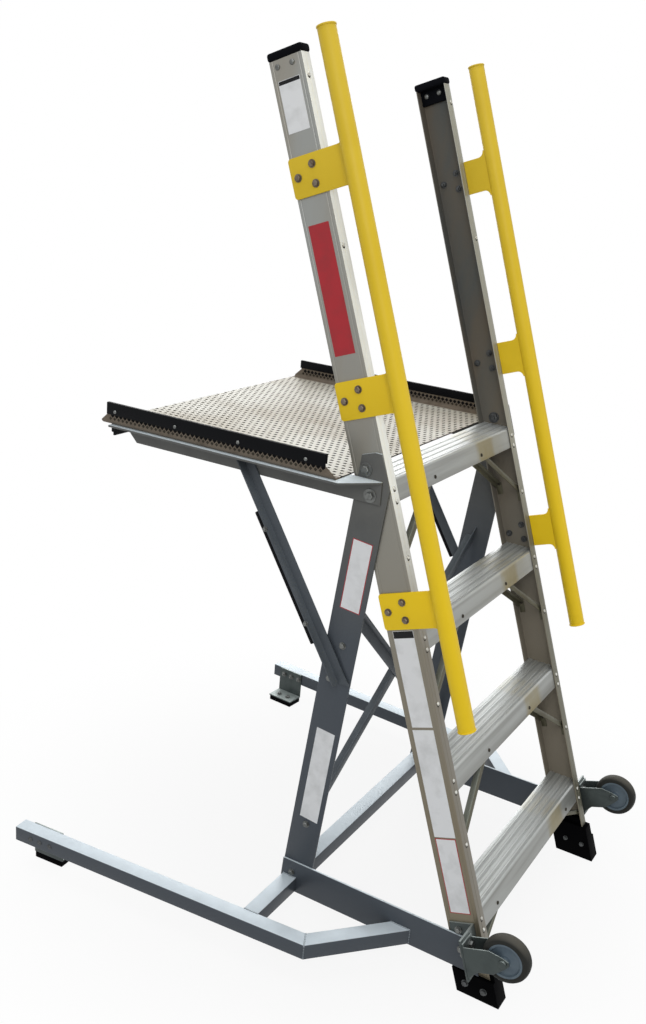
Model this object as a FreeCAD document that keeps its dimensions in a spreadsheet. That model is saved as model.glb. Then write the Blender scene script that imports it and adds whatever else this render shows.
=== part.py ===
"""Aircraft maintenance platform: a leaning ladder with a small work deck on braced rear legs.

Axes: +X to the climber's right, +Y forward from the ladder towards the deck, +Z up.
Two local frames are used beside the main one.  The rail frame leans with the ladder:
its z runs up along the rails and its y stands square to them.  The leg frame leans
the other way, with its z up along the rear legs.  All lengths are in millimetres.
"""
import FreeCAD, Part
import os
import re
import Sketcher

SIZES = {
    # ladder rails: channels with the web outboard and the flanges inboard
    "rail_lean": 19.4,
    "rail_half": 343.0,
    "rail_depth": 79.2,
    "rail_flange": 30.0,
    "rail_wall": 3.0,
    "rail_start": 40.0,
    "rail_end": 2066.0,
    "cap_wall": 2.5,
    "cap_tongue": 35.0,
    "cap_tongue_sheet": 9.0,
    "cap_crown": 17.0,
    # ladder feet: moulded boots round the lower ends of the rails
    "foot_wall": 9.4,
    "foot_grip": 35.0,
    "plug_grip": 21.5,
    "foot_height": 90.0,
    "foot_wall_height": 56.0,
    "foot_toe": 11.0,
    "foot_top_toe": 11.0,
    "foot_heel": 6.7,
    "foot_top_heel": 6.7,
    "plug_height": 104.0,
    "plug_gap": 0.3,
    # steps
    "step_rise": 308.0,
    "platform_level": 1130.0,
    "step_skirt": 46.0,
    "step_sheet": 3.0,
    # step braces: small angles from inside the skirts to the rails' webs
    "gusset_reach": 192.0,
    "gusset_width": 24.0,
    "gusset_drop": 117.0,
    "gusset_lap": 24.0,
    "gusset_tab": 30.0,
    "gusset_flange": 14.0,
    "gusset_sheet": 2.5,
    "low_gusset_reach": 118.0,
    "low_gusset_drop": 40.0,
    "low_gusset_tab": 15.0,
    # handrails
    "handrail_radius": 19.05,
    "handrail_bore": 17.0,
    "handrail_out": 13.0,
    "handrail_stand": 72.0,
    "handrail_under": 262.0,
    "handrail_over": 19.5,
    "handrail_plug": 4.0,
    "handrail_lip": 1.2,
    "plate_sheet": 5.0,
    "plate_length": 81.0,
    "plate_back": 80.0,
    "plate_corner": 7.0,
    "plate_first": 920.5,
    "plate_spacing": 457.2,
    "plate_drop": 231.0,
    "weld_gap": 0.2,
    # rear legs: flat bars that lean back towards the ladder
    "leg_sheet": 5.0,
    "leg_lean": 5.83,
    "leg_axis": 545.5,
    "leg_width": 79.0,
    "leg_foot": 64.0,
    "leg_shoulder": 1112.0,
    "leg_peak": 74.0,
    "leg_corner": 10.0,
    "leg_corner_run": 30.0,
    # deck frame and deck
    "side_leg": 51.0,
    "side_flange": 76.0,
    "side_sheet": 5.0,
    "side_top": 1128.0,
    "side_rear": 409.0,
    "side_taper": 65.0,
    "side_front": 1089.0,
    "side_bevel": 26.0,
    "cross_leg": 37.0,
    "cross_reach": 23.0,
    "cross_inset": 37.0,
    "deck_sheet": 3.0,
    "deck_out": 74.0,
    "deck_rear": 487.0,
    "deck_front": 1115.0,
    "deck_upturn": 49.0,
    "deck_bend": 10.0,
    "strip_sheet": 3.0,
    "strip_outer": 28.0,
    "strip_inner": 22.0,
    "strip_inset": 22.0,
    "strip_front_inset": 17.0,
    "corner_low": 8.0,
    "corner_high": 24.0,
    "front_strip_sheet": 6.0,
    "front_strip_height": 22.0,
    "front_strip_drop": 8.0,
    # deck braces: angles from the legs up to the deck frame
    "brace_lean": 32.44,
    "brace_leg": 25.4,
    "brace_sheet": 3.2,
    "brace_rear": 438.0,
    "brace_foot": 648.0,
    "brace_spacer_radius": 10.0,
    "brace_spacer_rise": 50.0,
    "bumper_sheet": 11.0,
    "bumper_start": 87.0,
    "bumper_length": 318.0,
    "bumper_inset": 1.5,
    # crossed braces between the legs
    "xbrace_leg": 25.4,
    "xbrace_sheet": 3.2,
    "xbrace_centre": 531.0,
    "xbrace_angle": 40.76,
    # base
    "tube": 38.1,
    "tube_wall": 2.5,
    "cross_tube_rear": 507.0,
    "cross_tube_bottom": 104.0,
    "beam_sheet": 5.0,
    "beam_bottom": 60.0,
    "beam_height": 83.0,
    "beam_front": 577.0,
    "beam_bevel": 6.0,
    "beam_rail_gap": 6.0,
    # outriggers
    "outrigger_bottom": 62.0,
    "outrigger_splay": 4.57,
    "corner_forward": 398.7,
    "corner_reach": 179.5,
    "link_swing": 48.0,
    "stub_forward": 550.0,
    "outrigger_length": 809.0,
    "bracket_sheet": 4.0,
    "bracket_shelf": 57.0,
    "bracket_length": 88.0,
    "bracket_setback": 28.0,
    "sole_height": 16.5,
    "sole_inset": 2.0,
    # casters, carried ahead of the rails and square to them
    "caster_set": 12.0,
    "caster_sheet": 5.0,
    "caster_back": 60.0,
    "caster_out": 73.0,
    "caster_low": 100.0,
    "caster_high": 198.0,
    "wheel_out": 49.0,
    "wheel_stand": 79.0,
    "wheel_rise": 156.0,
    "wheel_radius": 54.5,
    "wheel_width": 30.0,
    "tyre_inner": 40.5,
    "tyre_crown": 6.0,
    "rim_half": 14.5,
    "rim_inner": 34.5,
    "web_half": 5.0,
    "boss_radius": 12.0,
    "boss_gap": 1.0,
    "axle_radius": 4.76,
    "axle_gap": 0.05,
    "axle_head": 8.5,
    "axle_head_height": 5.0,
    "fork_sheet": 3.0,
    "fork_gap": 5.5,
    "fork_plate": 4.0,
    "fork_plate_margin": 8.0,
    "fork_root_low": 113.0,
    "fork_root_high": 183.0,
    "fork_belly": 29.0,
    "fork_nose": 14.0,
    "fork_nose_flat": 4.7,
}

STEP_COUNT = 4
SIDES = (("left", "-1"), ("right", "1"))
X_AXIS = FreeCAD.Vector(1, 0, 0)
Z_AXIS = FreeCAD.Vector(0, 0, 1)
NAME = re.compile(r"[a-z_]+")

# lengths worked out from the sizes above
SLOPE = "tan(rail_lean)"
RAIL_INNER = "(rail_half - rail_wall)"
RAIL_FRONT_IN = "(rail_wall / cos(rail_lean))"
RAIL_BACK = "(rail_depth / cos(rail_lean))"
RAIL_BACK_IN = "((rail_depth - rail_wall) / cos(rail_lean))"
FOOT_INNER = "(rail_half - foot_grip)"
PLUG_INNER = "(rail_half - plug_grip)"
HANDRAIL_HALF = "(rail_half + handrail_out)"
HANDRAIL_START = "(plate_first - handrail_under)"
HANDRAIL_END = "(rail_end + handrail_over)"
PLATE_MIDDLES = ("plate_first", "(plate_first + plate_spacing)", "(rail_end - plate_drop)")
WHEEL_HALF = "(rail_half + wheel_out)"
DECK_HALF = "(rail_half + deck_out)"
CROSS_HALF = f"({DECK_HALF} - cross_inset)"
CORNER_OUT = "(rail_half + corner_reach)"
LEG_OUTER = "(rail_half + leg_sheet)"
BEAM_OUTER = "(rail_half + leg_sheet + beam_sheet)"
SIDE_OUTER = "(rail_half + leg_sheet + side_sheet)"
BRACE_OUTER = f"({SIDE_OUTER} + brace_leg)"
WHEEL_Y = "(wheel_rise * sin(rail_lean) - wheel_stand * cos(rail_lean))"
OUTRIGGER_REACH = "(outrigger_length * cos(outrigger_splay) + tube / 2 * sin(outrigger_splay))"
OUTRIGGER_END = f"(corner_forward + {OUTRIGGER_REACH})"
ORIGIN_Y = f"(({OUTRIGGER_END} + {WHEEL_Y} - wheel_radius) / 2)"

doc = FreeCAD.newDocument("MaintenancePlatform")
sheet = doc.addObject("Spreadsheet::Sheet", "Sizes")
for row, (alias, value) in enumerate(SIZES.items(), start=1):
    sheet.set(f"A{row}", alias)
    sheet.set(f"B{row}", str(value))
    sheet.setAlias(f"B{row}", alias)
doc.recompute()

subparts = []


def bound(text):
    """The expression with every size name pointed at the sheet."""
    def aimed(word):
        name = word.group(0)
        return f"Sizes.{name}" if name in SIZES else name

    return NAME.sub(aimed, text)


def bind(item, path, text):
    """Tie one property of an object to an expression of sizes."""
    item.setExpression(path, bound(text))


def keep(item, label):
    """Make an object a sub-part of its own."""
    item.Label = label
    subparts.append(item)
    return item


def stand(item, across="0", forward="0", up="0"):
    """Place an object upright in the main frame."""
    bind(item, "Placement.Base.x", across)
    bind(item, "Placement.Base.y", f"{forward} - {ORIGIN_Y}")
    bind(item, "Placement.Base.z", up)


def turn(item, axis, angle):
    """Turn an object about one of its own axes."""
    item.Placement = FreeCAD.Placement(FreeCAD.Vector(), FreeCAD.Rotation(axis, 1))
    bind(item, "Placement.Rotation.Angle", angle)


def lean(item, across="0", square="0", along="0"):
    """Place an object in the rail frame, `square` off the rails' front line and `along` them."""
    turn(item, X_AXIS, "-rail_lean")
    forward = f"({square}) * cos(rail_lean) + ({along}) * sin(rail_lean)"
    stand(item, across, forward, f"({along}) * cos(rail_lean) - ({square}) * sin(rail_lean)")


def plane(body, role):
    """One of the body's own origin planes or axes."""
    return next(item for item in body.Origin.OriginFeatures if item.Role == role)


def outline(body, role, points):
    """Closed outline with straight sides, each corner tied to a pair of expressions."""
    sketch = body.newObject("Sketcher::SketchObject", "Outline")
    sketch.AttachmentSupport = [(plane(body, role), "")]
    sketch.MapMode = "FlatFace"
    count = len(points)
    ring = [FreeCAD.Vector(1, 0, 0)]
    spin = FreeCAD.Rotation(Z_AXIS, 360 / count)
    for _ in range(count):
        ring.append(spin.multVec(ring[-1]))
    for start, end in zip(ring, ring[1:]):
        sketch.addGeometry(Part.LineSegment(start, end), False)
    for side in range(count):
        sketch.addConstraint(Sketcher.Constraint("Coincident", side, 2, (side + 1) % count, 1))
    for corner, pair in enumerate(points):
        for kind, text in zip(("DistanceX", "DistanceY"), pair):
            index = sketch.addConstraint(Sketcher.Constraint(kind, -1, 1, corner, 1, 1.0))
            bind(sketch, f"Constraints[{index}]", text)
    return sketch


def pad(body, role, points, length, backward=False):
    """Push an outline out of one of the body's planes."""
    feature = body.newObject("PartDesign::Pad", "Pad")
    feature.Profile = outline(body, role, points)
    feature.Reversed = backward
    bind(feature, "Length", length)
    body.Tip = feature
    return feature


def prism(role, points, length, backward=False):
    """A body made of one pad."""
    body = doc.addObject("PartDesign::Body", "Body")
    pad(body, role, points, length, backward)
    return body


def slab(sign, inner, outer, points):
    """A plate that lies in the Y-Z plane on one side, between two distances from the middle."""
    body = prism("YZ_Plane", points, f"({outer}) - ({inner})")
    return body, f"{inner}" if sign == "1" else f"-({outer})"


def block(across, forward, up):
    """A box whose three lengths are expressions."""
    item = doc.addObject("Part::Box", "Block")
    bind(item, "Length", across)
    bind(item, "Width", forward)
    bind(item, "Height", up)
    return item


def rod(radius, length):
    """A cylinder along its own z."""
    item = doc.addObject("Part::Cylinder", "Rod")
    bind(item, "Radius", radius)
    bind(item, "Height", length)
    return item


def cross_rod(sign, radius, inner, outer, square, along):
    """A cylinder along X in the rail frame, between two distances from the middle."""
    item = rod(radius, f"({outer}) - ({inner})")
    item.Placement = FreeCAD.Placement(FreeCAD.Vector(), FreeCAD.Rotation(FreeCAD.Vector(0, 1, 0), 90))
    bind(item, "Placement.Base.x", inner if sign == "1" else f"-({outer})")
    bind(item, "Placement.Base.y", square)
    bind(item, "Placement.Base.z", along)
    return item


def move(item, across="0", forward="0", up="0"):
    """Shift an object inside the frame that its result is placed in."""
    bind(item, "Placement.Base.x", across)
    bind(item, "Placement.Base.y", forward)
    bind(item, "Placement.Base.z", up)
    return item


def cut(base, tool):
    item = doc.addObject("Part::Cut", "Cut")
    item.Base = base
    item.Tool = tool
    return item


def fuse(*pieces):
    item = doc.addObject("Part::MultiFuse", "Fuse")
    item.Shapes = list(pieces)
    return item


def group(*pieces):
    """Separate like pieces that share a node."""
    item = doc.addObject("Part::Compound", "Group")
    item.Links = list(pieces)
    return item


def round_edges(body, radius, wanted):
    """Round the edges of the body's last feature that a test picks out."""
    doc.recompute()
    base = body.Tip
    names = [f"Edge{i}" for i, edge in enumerate(base.Shape.Edges, start=1) if wanted(edge)]
    feature = body.newObject("PartDesign::Fillet", "Fillet")
    feature.Base = (base, names)
    bind(feature, "Radius", radius)
    body.Tip = feature


def channel_points(sign, flange="rail_wall"):
    """Section of a rail, seen down the rail."""
    inner = f"{sign} * (rail_half - rail_flange)"
    web = f"{sign} * {RAIL_INNER}"
    outer = f"{sign} * rail_half"
    return (
        (outer, "0"), (inner, "0"), (inner, flange), (web, flange),
        (web, f"rail_depth - ({flange})"), (inner, f"rail_depth - ({flange})"), (inner, "rail_depth"),
        (outer, "rail_depth"),
    )


def make_rail(name, sign):
    body = keep(prism("XY_Plane", channel_points(sign), "rail_end - rail_start"), f"{name}_rail")
    lean(body, along="rail_start")


def make_rail_cap(name, sign):
    """Moulded cap: a crown seated on the rail's end and a tongue on the inside of its web."""
    inner = f"{sign} * (rail_half - rail_flange - cap_wall)"
    outer = f"{sign} * (rail_half + cap_wall)"
    front = "-cap_wall"
    back = "rail_depth + cap_wall"
    crown = prism("XY_Plane", (
        (outer, front), (inner, front), (inner, back), (outer, back),
    ), "cap_crown")
    move(crown, "0", "0", "cap_tongue")
    web = f"{sign} * {RAIL_INNER}"
    face = f"{sign} * ({RAIL_INNER} - cap_tongue_sheet)"
    tongue = prism("XY_Plane", (
        (web, "rail_wall"), (face, "rail_wall"),
        (face, "rail_depth - rail_wall"), (web, "rail_depth - rail_wall"),
    ), "cap_tongue")
    lean(keep(fuse(crown, tongue), f"{name}_rail_cap"), along="rail_end - cap_tongue")


def make_foot(name, sign):
    """Boot with a flat sole, a wall outside the rail's web and a plug inside the channel."""
    top = "foot_height"
    base, across = slab(sign, FOOT_INNER, "rail_half + foot_wall", (
        ("-foot_toe", "0"), (f"{RAIL_BACK} + foot_heel", "0"),
        (f"{RAIL_BACK} + {top} * {SLOPE} + foot_top_heel", top), (f"{top} * {SLOPE} - foot_top_toe", top),
    ))
    move(base, across)
    plug_front = f"{RAIL_FRONT_IN} + plug_gap"
    plug_back = f"{RAIL_BACK_IN} - plug_gap"
    rise = f"plug_height * {SLOPE}"
    plug, across = slab(sign, PLUG_INNER, f"{RAIL_INNER} - plug_gap", (
        (plug_front, "0"), (plug_back, "0"),
        (f"{plug_back} + {rise}", "plug_height"), (f"{plug_front} + {rise}", "plug_height"),
    ))
    move(plug, across)
    rail_room = prism("XY_Plane", channel_points(sign), "foot_height + plug_height")
    turn(rail_room, X_AXIS, "-rail_lean")
    move(rail_room, "0", "rail_start * sin(rail_lean)", "rail_start * cos(rail_lean)")
    beam_room, across = slab(sign, "rail_half", "rail_half + 2 * foot_wall", (
        (f"-{top}", "foot_wall_height"), (f"{RAIL_BACK} + {top}", "foot_wall_height"),
        (f"{RAIL_BACK} + {top}", f"2 * {top}"), (f"-{top}", f"2 * {top}"),
    ))
    move(beam_room, across)
    foot = keep(cut(cut(fuse(base, plug), rail_room), beam_room), f"{name}_ladder_foot")
    stand(foot)


def make_step(number):
    """Folded tread with a front and a rear skirt that hang parallel to the rails."""
    top = f"(platform_level - {STEP_COUNT - number} * step_rise)"
    lap = "step_sheet / cos(rail_lean)"
    skirt = f"step_skirt * {SLOPE}"
    under = f"step_sheet * {SLOPE}"
    body = keep(prism("YZ_Plane", (
        (RAIL_FRONT_IN, "0"), (RAIL_BACK_IN, "0"),
        (f"{RAIL_BACK_IN} - {skirt}", "-step_skirt"), (f"{RAIL_BACK_IN} - {skirt} - {lap}", "-step_skirt"),
        (f"{RAIL_BACK_IN} - {under} - {lap}", "-step_sheet"),
        (f"{RAIL_FRONT_IN} - {under} + {lap}", "-step_sheet"),
        (f"{RAIL_FRONT_IN} - {skirt} + {lap}", "-step_skirt"),
        (f"{RAIL_FRONT_IN} - {skirt}", "-step_skirt"),
    ), f"2 * {RAIL_INNER}"), f"step_{number}")
    stand(body, f"-{RAIL_INNER}", f"{top} * {SLOPE}", top)


def make_gussets(number):
    """Four angle braces from inside a step's skirts down to the rails' webs, each with a tab."""
    low = "low_" if number == 1 else ""
    reach = f"{low}gusset_reach"
    drop = f"{low}gusset_drop"
    grade = f"({drop} / ({reach} - gusset_width))"
    thick = f"gusset_sheet * sqrt(1 + {grade} ^ 2)"
    top = f"(platform_level - {STEP_COUNT - number} * step_rise)"
    front = "rail_wall + step_sheet"
    rear = "rail_depth - rail_wall - step_sheet"
    pieces = []
    for _, sign in SIDES:
        root = f"{sign} * ({RAIL_INNER} - {reach})"
        elbow = f"{sign} * ({RAIL_INNER} - {reach} + gusset_width)"
        web = f"{sign} * {RAIL_INNER}"
        tab_face = f"{sign} * ({RAIL_INNER} - gusset_sheet)"
        for plate_at, flange_at, edge_at in (
            (front, front, front),
            (f"{rear} - gusset_sheet", f"{rear} - gusset_flange", rear),
        ):
            # height along the rail of the skirt's lower edge, where the brace comes out
            start = f"(({top} - step_skirt) / cos(rail_lean) + ({edge_at}) * tan(rail_lean))"
            plate = prism("XZ_Plane", (
                (root, f"{start} + gusset_lap"), (elbow, f"{start} + gusset_lap"), (elbow, start),
                (web, f"{start} - {drop}"), (web, f"{start} - {drop} - gusset_width * {grade}"),
                (root, start),
            ), "gusset_sheet", backward=True)
            move(plate, "0", plate_at)
            flange = prism("XZ_Plane", (
                (elbow, start), (web, f"{start} - {drop}"), (web, f"{start} - {drop} - {thick}"),
                (elbow, f"{start} - {thick}"),
            ), "gusset_flange", backward=True)
            move(flange, "0", flange_at)
            tab = prism("XZ_Plane", (
                (tab_face, f"{start} - {drop}"), (web, f"{start} - {drop}"),
                (web, f"{start} - {drop} - {low}gusset_tab"),
                (tab_face, f"{start} - {drop} - {low}gusset_tab"),
            ), "gusset_flange", backward=True)
            move(tab, "0", flange_at)
            pieces.append(fuse(plate, flange, tab))
    lean(keep(group(*pieces), f"step_{number}_gussets"))


def make_handrail(name, sign):
    """Straight round tube ahead of the rail, with a lipped plug in each end."""
    outer = rod("handrail_radius", f"{HANDRAIL_END} - {HANDRAIL_START}")
    bore = rod("handrail_bore", f"{HANDRAIL_END} - {HANDRAIL_START}")
    tube = keep(cut(outer, bore), f"{name}_handrail")
    lean(tube, f"{sign} * {HANDRAIL_HALF}", "-handrail_stand", HANDRAIL_START)
    low = rod("handrail_radius + handrail_lip", "handrail_plug")
    high = rod("handrail_radius + handrail_lip", "handrail_plug")
    move(low, "0", "0", "-handrail_plug")
    move(high, "0", "0", f"{HANDRAIL_END} - {HANDRAIL_START}")
    plugs = keep(group(low, high), f"{name}_handrail_plugs")
    lean(plugs, f"{sign} * {HANDRAIL_HALF}", "-handrail_stand", HANDRAIL_START)


def make_handrail_plates(name, sign):
    """Flat plates bolted to the rail's web and welded to the handrail."""
    pieces = []
    for middle in PLATE_MIDDLES:
        low = f"{middle} - plate_length / 2"
        high = f"{middle} + plate_length / 2"
        body, across = slab(sign, "rail_half", "rail_half + plate_sheet", (
            ("-handrail_stand", low), ("plate_back", low), ("plate_back", high), ("-handrail_stand", high),
        ))
        round_edges(body, "plate_corner", lambda edge: is_across(edge) and edge.Vertexes[0].Y > 0)
        move(body, across)
        pieces.append(body)
    tube = rod("handrail_radius + weld_gap", HANDRAIL_END)
    move(tube, f"{sign} * {HANDRAIL_HALF}", "-handrail_stand")
    room = block(f"2 * {HANDRAIL_HALF}", "handrail_radius", HANDRAIL_END)
    move(room, f"-{HANDRAIL_HALF}", "-handrail_stand - handrail_radius")
    plates = keep(cut(cut(group(*pieces), tube), room), f"{name}_handrail_plates")
    lean(plates)


def is_across(edge):
    """True for a straight edge that runs along X."""
    first, last = (vertex.Point for vertex in (edge.Vertexes[0], edge.Vertexes[-1]))
    step = last - first
    return abs(step.x) > abs(step.y) + abs(step.z)


def make_rear_leg(name, sign):
    """Flat bar on the outside of the rail's web, leaning back and trimmed to the rail's front line."""
    tilt = "tan(leg_lean)"
    half = "leg_width / 2 / cos(leg_lean)"
    top = "(leg_shoulder + leg_peak)"
    shoulder = f"leg_axis - {half} - leg_shoulder * {tilt}"
    body, across = slab(sign, "rail_half", LEG_OUTER, (
        (f"leg_axis + {half} - leg_foot * {tilt}", "leg_foot"),
        (f"leg_axis + {half} - ({top} - leg_corner) * {tilt}", f"{top} - leg_corner"),
        (f"leg_axis + {half} - {top} * {tilt} - leg_corner_run", top),
        (f"{shoulder} + leg_peak * {SLOPE}", top),
        (shoulder, "leg_shoulder"),
        (f"leg_axis - {half} - leg_foot * {tilt}", "leg_foot"),
    ))
    stand(keep(body, f"{name}_rear_leg"), across)


def make_side_angle(name, sign):
    """Deck support: web lapped outside the leg, flange turned outboard and tapered at the rear."""
    web_in = f"{sign} * {LEG_OUTER}"
    web_out = f"{sign} * {SIDE_OUTER}"
    rim = f"{sign} * ({LEG_OUTER} + side_flange)"
    foot = "side_top - side_leg"
    under = "side_top - side_sheet"
    bar = prism("XZ_Plane", (
        (web_in, foot), (web_out, foot), (web_out, under),
        (rim, under), (rim, "side_top"), (web_in, "side_top"),
    ), "side_front - side_rear", backward=True)
    move(bar, "0", "side_rear")
    taper = prism("XY_Plane", (
        (rim, "side_rear"), (web_out, "side_rear"), (rim, "side_rear + side_taper"),
    ), "side_top")
    bevel = prism("YZ_Plane", (
        ("side_front - side_bevel", foot), ("side_front", foot), ("side_front", f"{foot} + side_bevel"),
    ), "2 * side_flange + 2 * rail_half")
    move(bevel, "-side_flange - rail_half")
    stand(keep(cut(cut(bar, taper), bevel), f"{name}_side_angle"))


def make_front_cross_angle():
    """Angle under the deck's front edge, between the ends of the side angles."""
    face = "side_front + cross_reach"
    under = "side_top - side_sheet"
    body = keep(prism("YZ_Plane", (
        ("side_front", "side_top"), ("side_front", under), (f"{face} - side_sheet", under),
        (f"{face} - side_sheet", "side_top - cross_leg"),
        (face, "side_top - cross_leg"), (face, "side_top"),
    ), f"2 * {CROSS_HALF}"), "front_cross_angle")
    stand(body, f"-{CROSS_HALF}")
    strip_top = "side_top - front_strip_drop"
    strip = keep(prism("YZ_Plane", (
        (face, strip_top), (face, f"{strip_top} - front_strip_height"),
        (f"{face} + front_strip_sheet", f"{strip_top} - front_strip_height"),
        (f"{face} + front_strip_sheet", strip_top),
    ), f"2 * {CROSS_HALF}"), "front_bumper")
    stand(strip, f"-{CROSS_HALF}")


def make_deck():
    """Deck sheet with both sides folded up."""
    inner = f"{DECK_HALF} - deck_sheet"
    body = doc.addObject("PartDesign::Body", "Body")
    pad(body, "XZ_Plane", (
        (f"-{DECK_HALF}", "deck_upturn"), (f"-{DECK_HALF}", "0"),
        (DECK_HALF, "0"), (DECK_HALF, "deck_upturn"),
        (inner, "deck_upturn"), (inner, "deck_sheet"),
        (f"-({inner})", "deck_sheet"), (f"-({inner})", "deck_upturn"),
    ), "deck_front - deck_rear", backward=True)
    round_edges(body, "deck_bend", lambda edge: on_bend(edge) == "outer")
    round_edges(body, "deck_bend - deck_sheet", lambda edge: on_bend(edge) == "inner")
    wide = "2 * rail_half + 2 * deck_out"
    length = "(deck_front - deck_rear)"
    rear_corner = prism("YZ_Plane", (
        ("0", "corner_low"), ("strip_inset", "corner_high"), ("strip_inset", "deck_upturn"), ("0", "deck_upturn"),
    ), wide)
    front_corner = prism("YZ_Plane", (
        (length, "corner_low"), (length, "deck_upturn"),
        (f"{length} - strip_front_inset", "deck_upturn"), (f"{length} - strip_front_inset", "corner_high"),
    ), wide)
    for corner in (rear_corner, front_corner):
        move(corner, f"-({wide}) / 2")
    trimmed = cut(cut(body, rear_corner), front_corner)
    stand(keep(trimmed, "platform_deck"), "0", "deck_rear", "side_top")


def is_forward(edge):
    """True for a straight edge that runs along Y."""
    step = edge.Vertexes[-1].Point - edge.Vertexes[0].Point
    return abs(step.y) > abs(step.x) + abs(step.z)


def on_bend(edge):
    """Which side of the deck's fold an edge lies on, or none."""
    point = edge.Vertexes[0].Point
    sheet_half = SIZES["deck_sheet"] / 2
    inner = SIZES["rail_half"] + SIZES["deck_out"] - SIZES["deck_sheet"]
    folded = abs(point.x) > inner - sheet_half
    if not (is_forward(edge) and folded):
        return "none"
    if point.z < sheet_half:
        return "outer"
    return "inner" if abs(point.z - SIZES["deck_sheet"]) < sheet_half else "none"


def make_toe_strip(name, sign):
    """Clip-on strip over the deck's upturned side."""
    outer = f"{sign} * ({DECK_HALF} + strip_sheet)"
    face = f"{sign} * {DECK_HALF}"
    inside = f"{sign} * ({DECK_HALF} - deck_sheet)"
    lip = f"{sign} * ({DECK_HALF} - deck_sheet - strip_sheet)"
    crest = "deck_upturn + strip_sheet"
    low = f"{crest} - strip_outer"
    inner_low = f"{crest} - strip_inner"
    body = keep(prism("XZ_Plane", (
        (outer, low), (outer, crest), (lip, crest), (lip, inner_low), (inside, inner_low),
        (inside, "deck_upturn"), (face, "deck_upturn"), (face, low),
    ), "deck_front - deck_rear - strip_inset - strip_front_inset", backward=True), f"{name}_toe_strip")
    stand(body, "0", "deck_rear + strip_inset", "side_top")


def make_brace(name, sign):
    """Angle brace: one leg flat against the deck frame, the other turned outboard along the front."""
    grade = "tan(brace_lean)"
    top = "(side_top - side_sheet)"
    wide = "brace_leg / cos(brace_lean)"
    thin = "brace_sheet / cos(brace_lean)"
    rear_top = f"brace_rear + ({top} - brace_foot) * {grade}"
    flat, across = slab(sign, SIDE_OUTER, f"{SIDE_OUTER} + brace_sheet", (
        ("brace_rear", "brace_foot"), (f"brace_rear + {wide}", "brace_foot"),
        (f"{rear_top} + {wide}", top), (rear_top, top),
    ))
    move(flat, across)
    lip, across = slab(sign, SIDE_OUTER, BRACE_OUTER, (
        (f"brace_rear + {wide} - {thin}", "brace_foot"), (f"brace_rear + {wide}", "brace_foot"),
        (f"{rear_top} + {wide}", top), (f"{rear_top} + {wide} - {thin}", top),
    ))
    move(lip, across)
    spacer = cross_rod(
        sign, "brace_spacer_radius", LEG_OUTER, SIDE_OUTER,
        f"brace_rear + brace_spacer_rise * {grade} + {wide} / 2", "brace_foot + brace_spacer_rise",
    )
    stand(keep(fuse(flat, lip, spacer), f"{name}_platform_brace"))

    face = f"brace_rear + {wide} + bumper_start * {grade}"
    low = "brace_foot + bumper_start"
    high = "brace_foot + bumper_start + bumper_length * cos(brace_lean)"
    run = "bumper_length * sin(brace_lean)"
    thick = "bumper_sheet * cos(brace_lean)"
    drop = "bumper_sheet * sin(brace_lean)"
    bumper, across = slab(sign, f"{SIDE_OUTER} + bumper_inset", f"{BRACE_OUTER} - bumper_inset", (
        (face, low), (f"{face} + {thick}", f"{low} - {drop}"),
        (f"{face} + {run} + {thick}", f"{high} - {drop}"), (f"{face} + {run}", high),
    ))
    stand(keep(bumper, f"{name}_brace_bumper"), across)


def make_cross_brace(name, rising, backward):
    """Angle across the two legs; a pair of them lies back to back in the legs' middle plane."""
    climb = f"{rising} * rail_half * tan(xbrace_angle)"
    half = "xbrace_leg / 2 / cos(xbrace_angle)"
    thin = "xbrace_sheet / cos(xbrace_angle)"
    edge = "-1" if backward else "1"
    body = prism("XZ_Plane", (
        ("-rail_half", f"-({climb}) - {half}"), ("rail_half", f"{climb} - {half}"),
        ("rail_half", f"{climb} + {half}"), ("-rail_half", f"-({climb}) + {half}"),
    ), "xbrace_sheet", backward=backward)
    pad(body, "XZ_Plane", (
        ("-rail_half", f"-({climb}) + {edge} * {half}"), ("rail_half", f"{climb} + {edge} * {half}"),
        ("rail_half", f"{climb} + {edge} * ({half} - {thin})"),
        ("-rail_half", f"-({climb}) + {edge} * ({half} - {thin})"),
    ), "xbrace_leg", backward)
    turn(body, X_AXIS, "leg_lean")
    stand(keep(body, name), "0", "leg_axis - xbrace_centre * tan(leg_lean)", "xbrace_centre")


def make_rear_cross_tube():
    """Square tube between the legs."""
    outer = block("2 * rail_half", "tube", "tube")
    bore = block("2 * rail_half", "tube - 2 * tube_wall", "tube - 2 * tube_wall")
    move(bore, "0", "tube_wall", "tube_wall")
    stand(keep(cut(outer, bore), "rear_cross_tube"), "-rail_half", "cross_tube_rear", "cross_tube_bottom")


def make_base_beam(name, sign):
    """Flat bar on edge from the rail's foot to the leg's foot, cut parallel to the rail at the rear."""
    top = "beam_bottom + beam_height"
    back = "(caster_set + caster_sheet + beam_rail_gap) / cos(rail_lean)"
    body, across = slab(sign, LEG_OUTER, BEAM_OUTER, (
        (f"{back} + beam_bottom * {SLOPE}", "beam_bottom"), ("beam_front", "beam_bottom"),
        (f"beam_front - beam_bevel", top), (f"{back} + ({top}) * {SLOPE}", top),
    ))
    stand(keep(body, f"{name}_base_beam"), across)


def outrigger_place(item, sign, along="0"):
    """Place an object on the outrigger tube's own line, which starts at the mitred corner."""
    turn(item, Z_AXIS, f"{sign} * -outrigger_splay")
    across = f"{sign} * ({CORNER_OUT} + ({along}) * sin(outrigger_splay))"
    stand(item, across, f"corner_forward + ({along}) * cos(outrigger_splay)", "outrigger_bottom")


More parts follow.
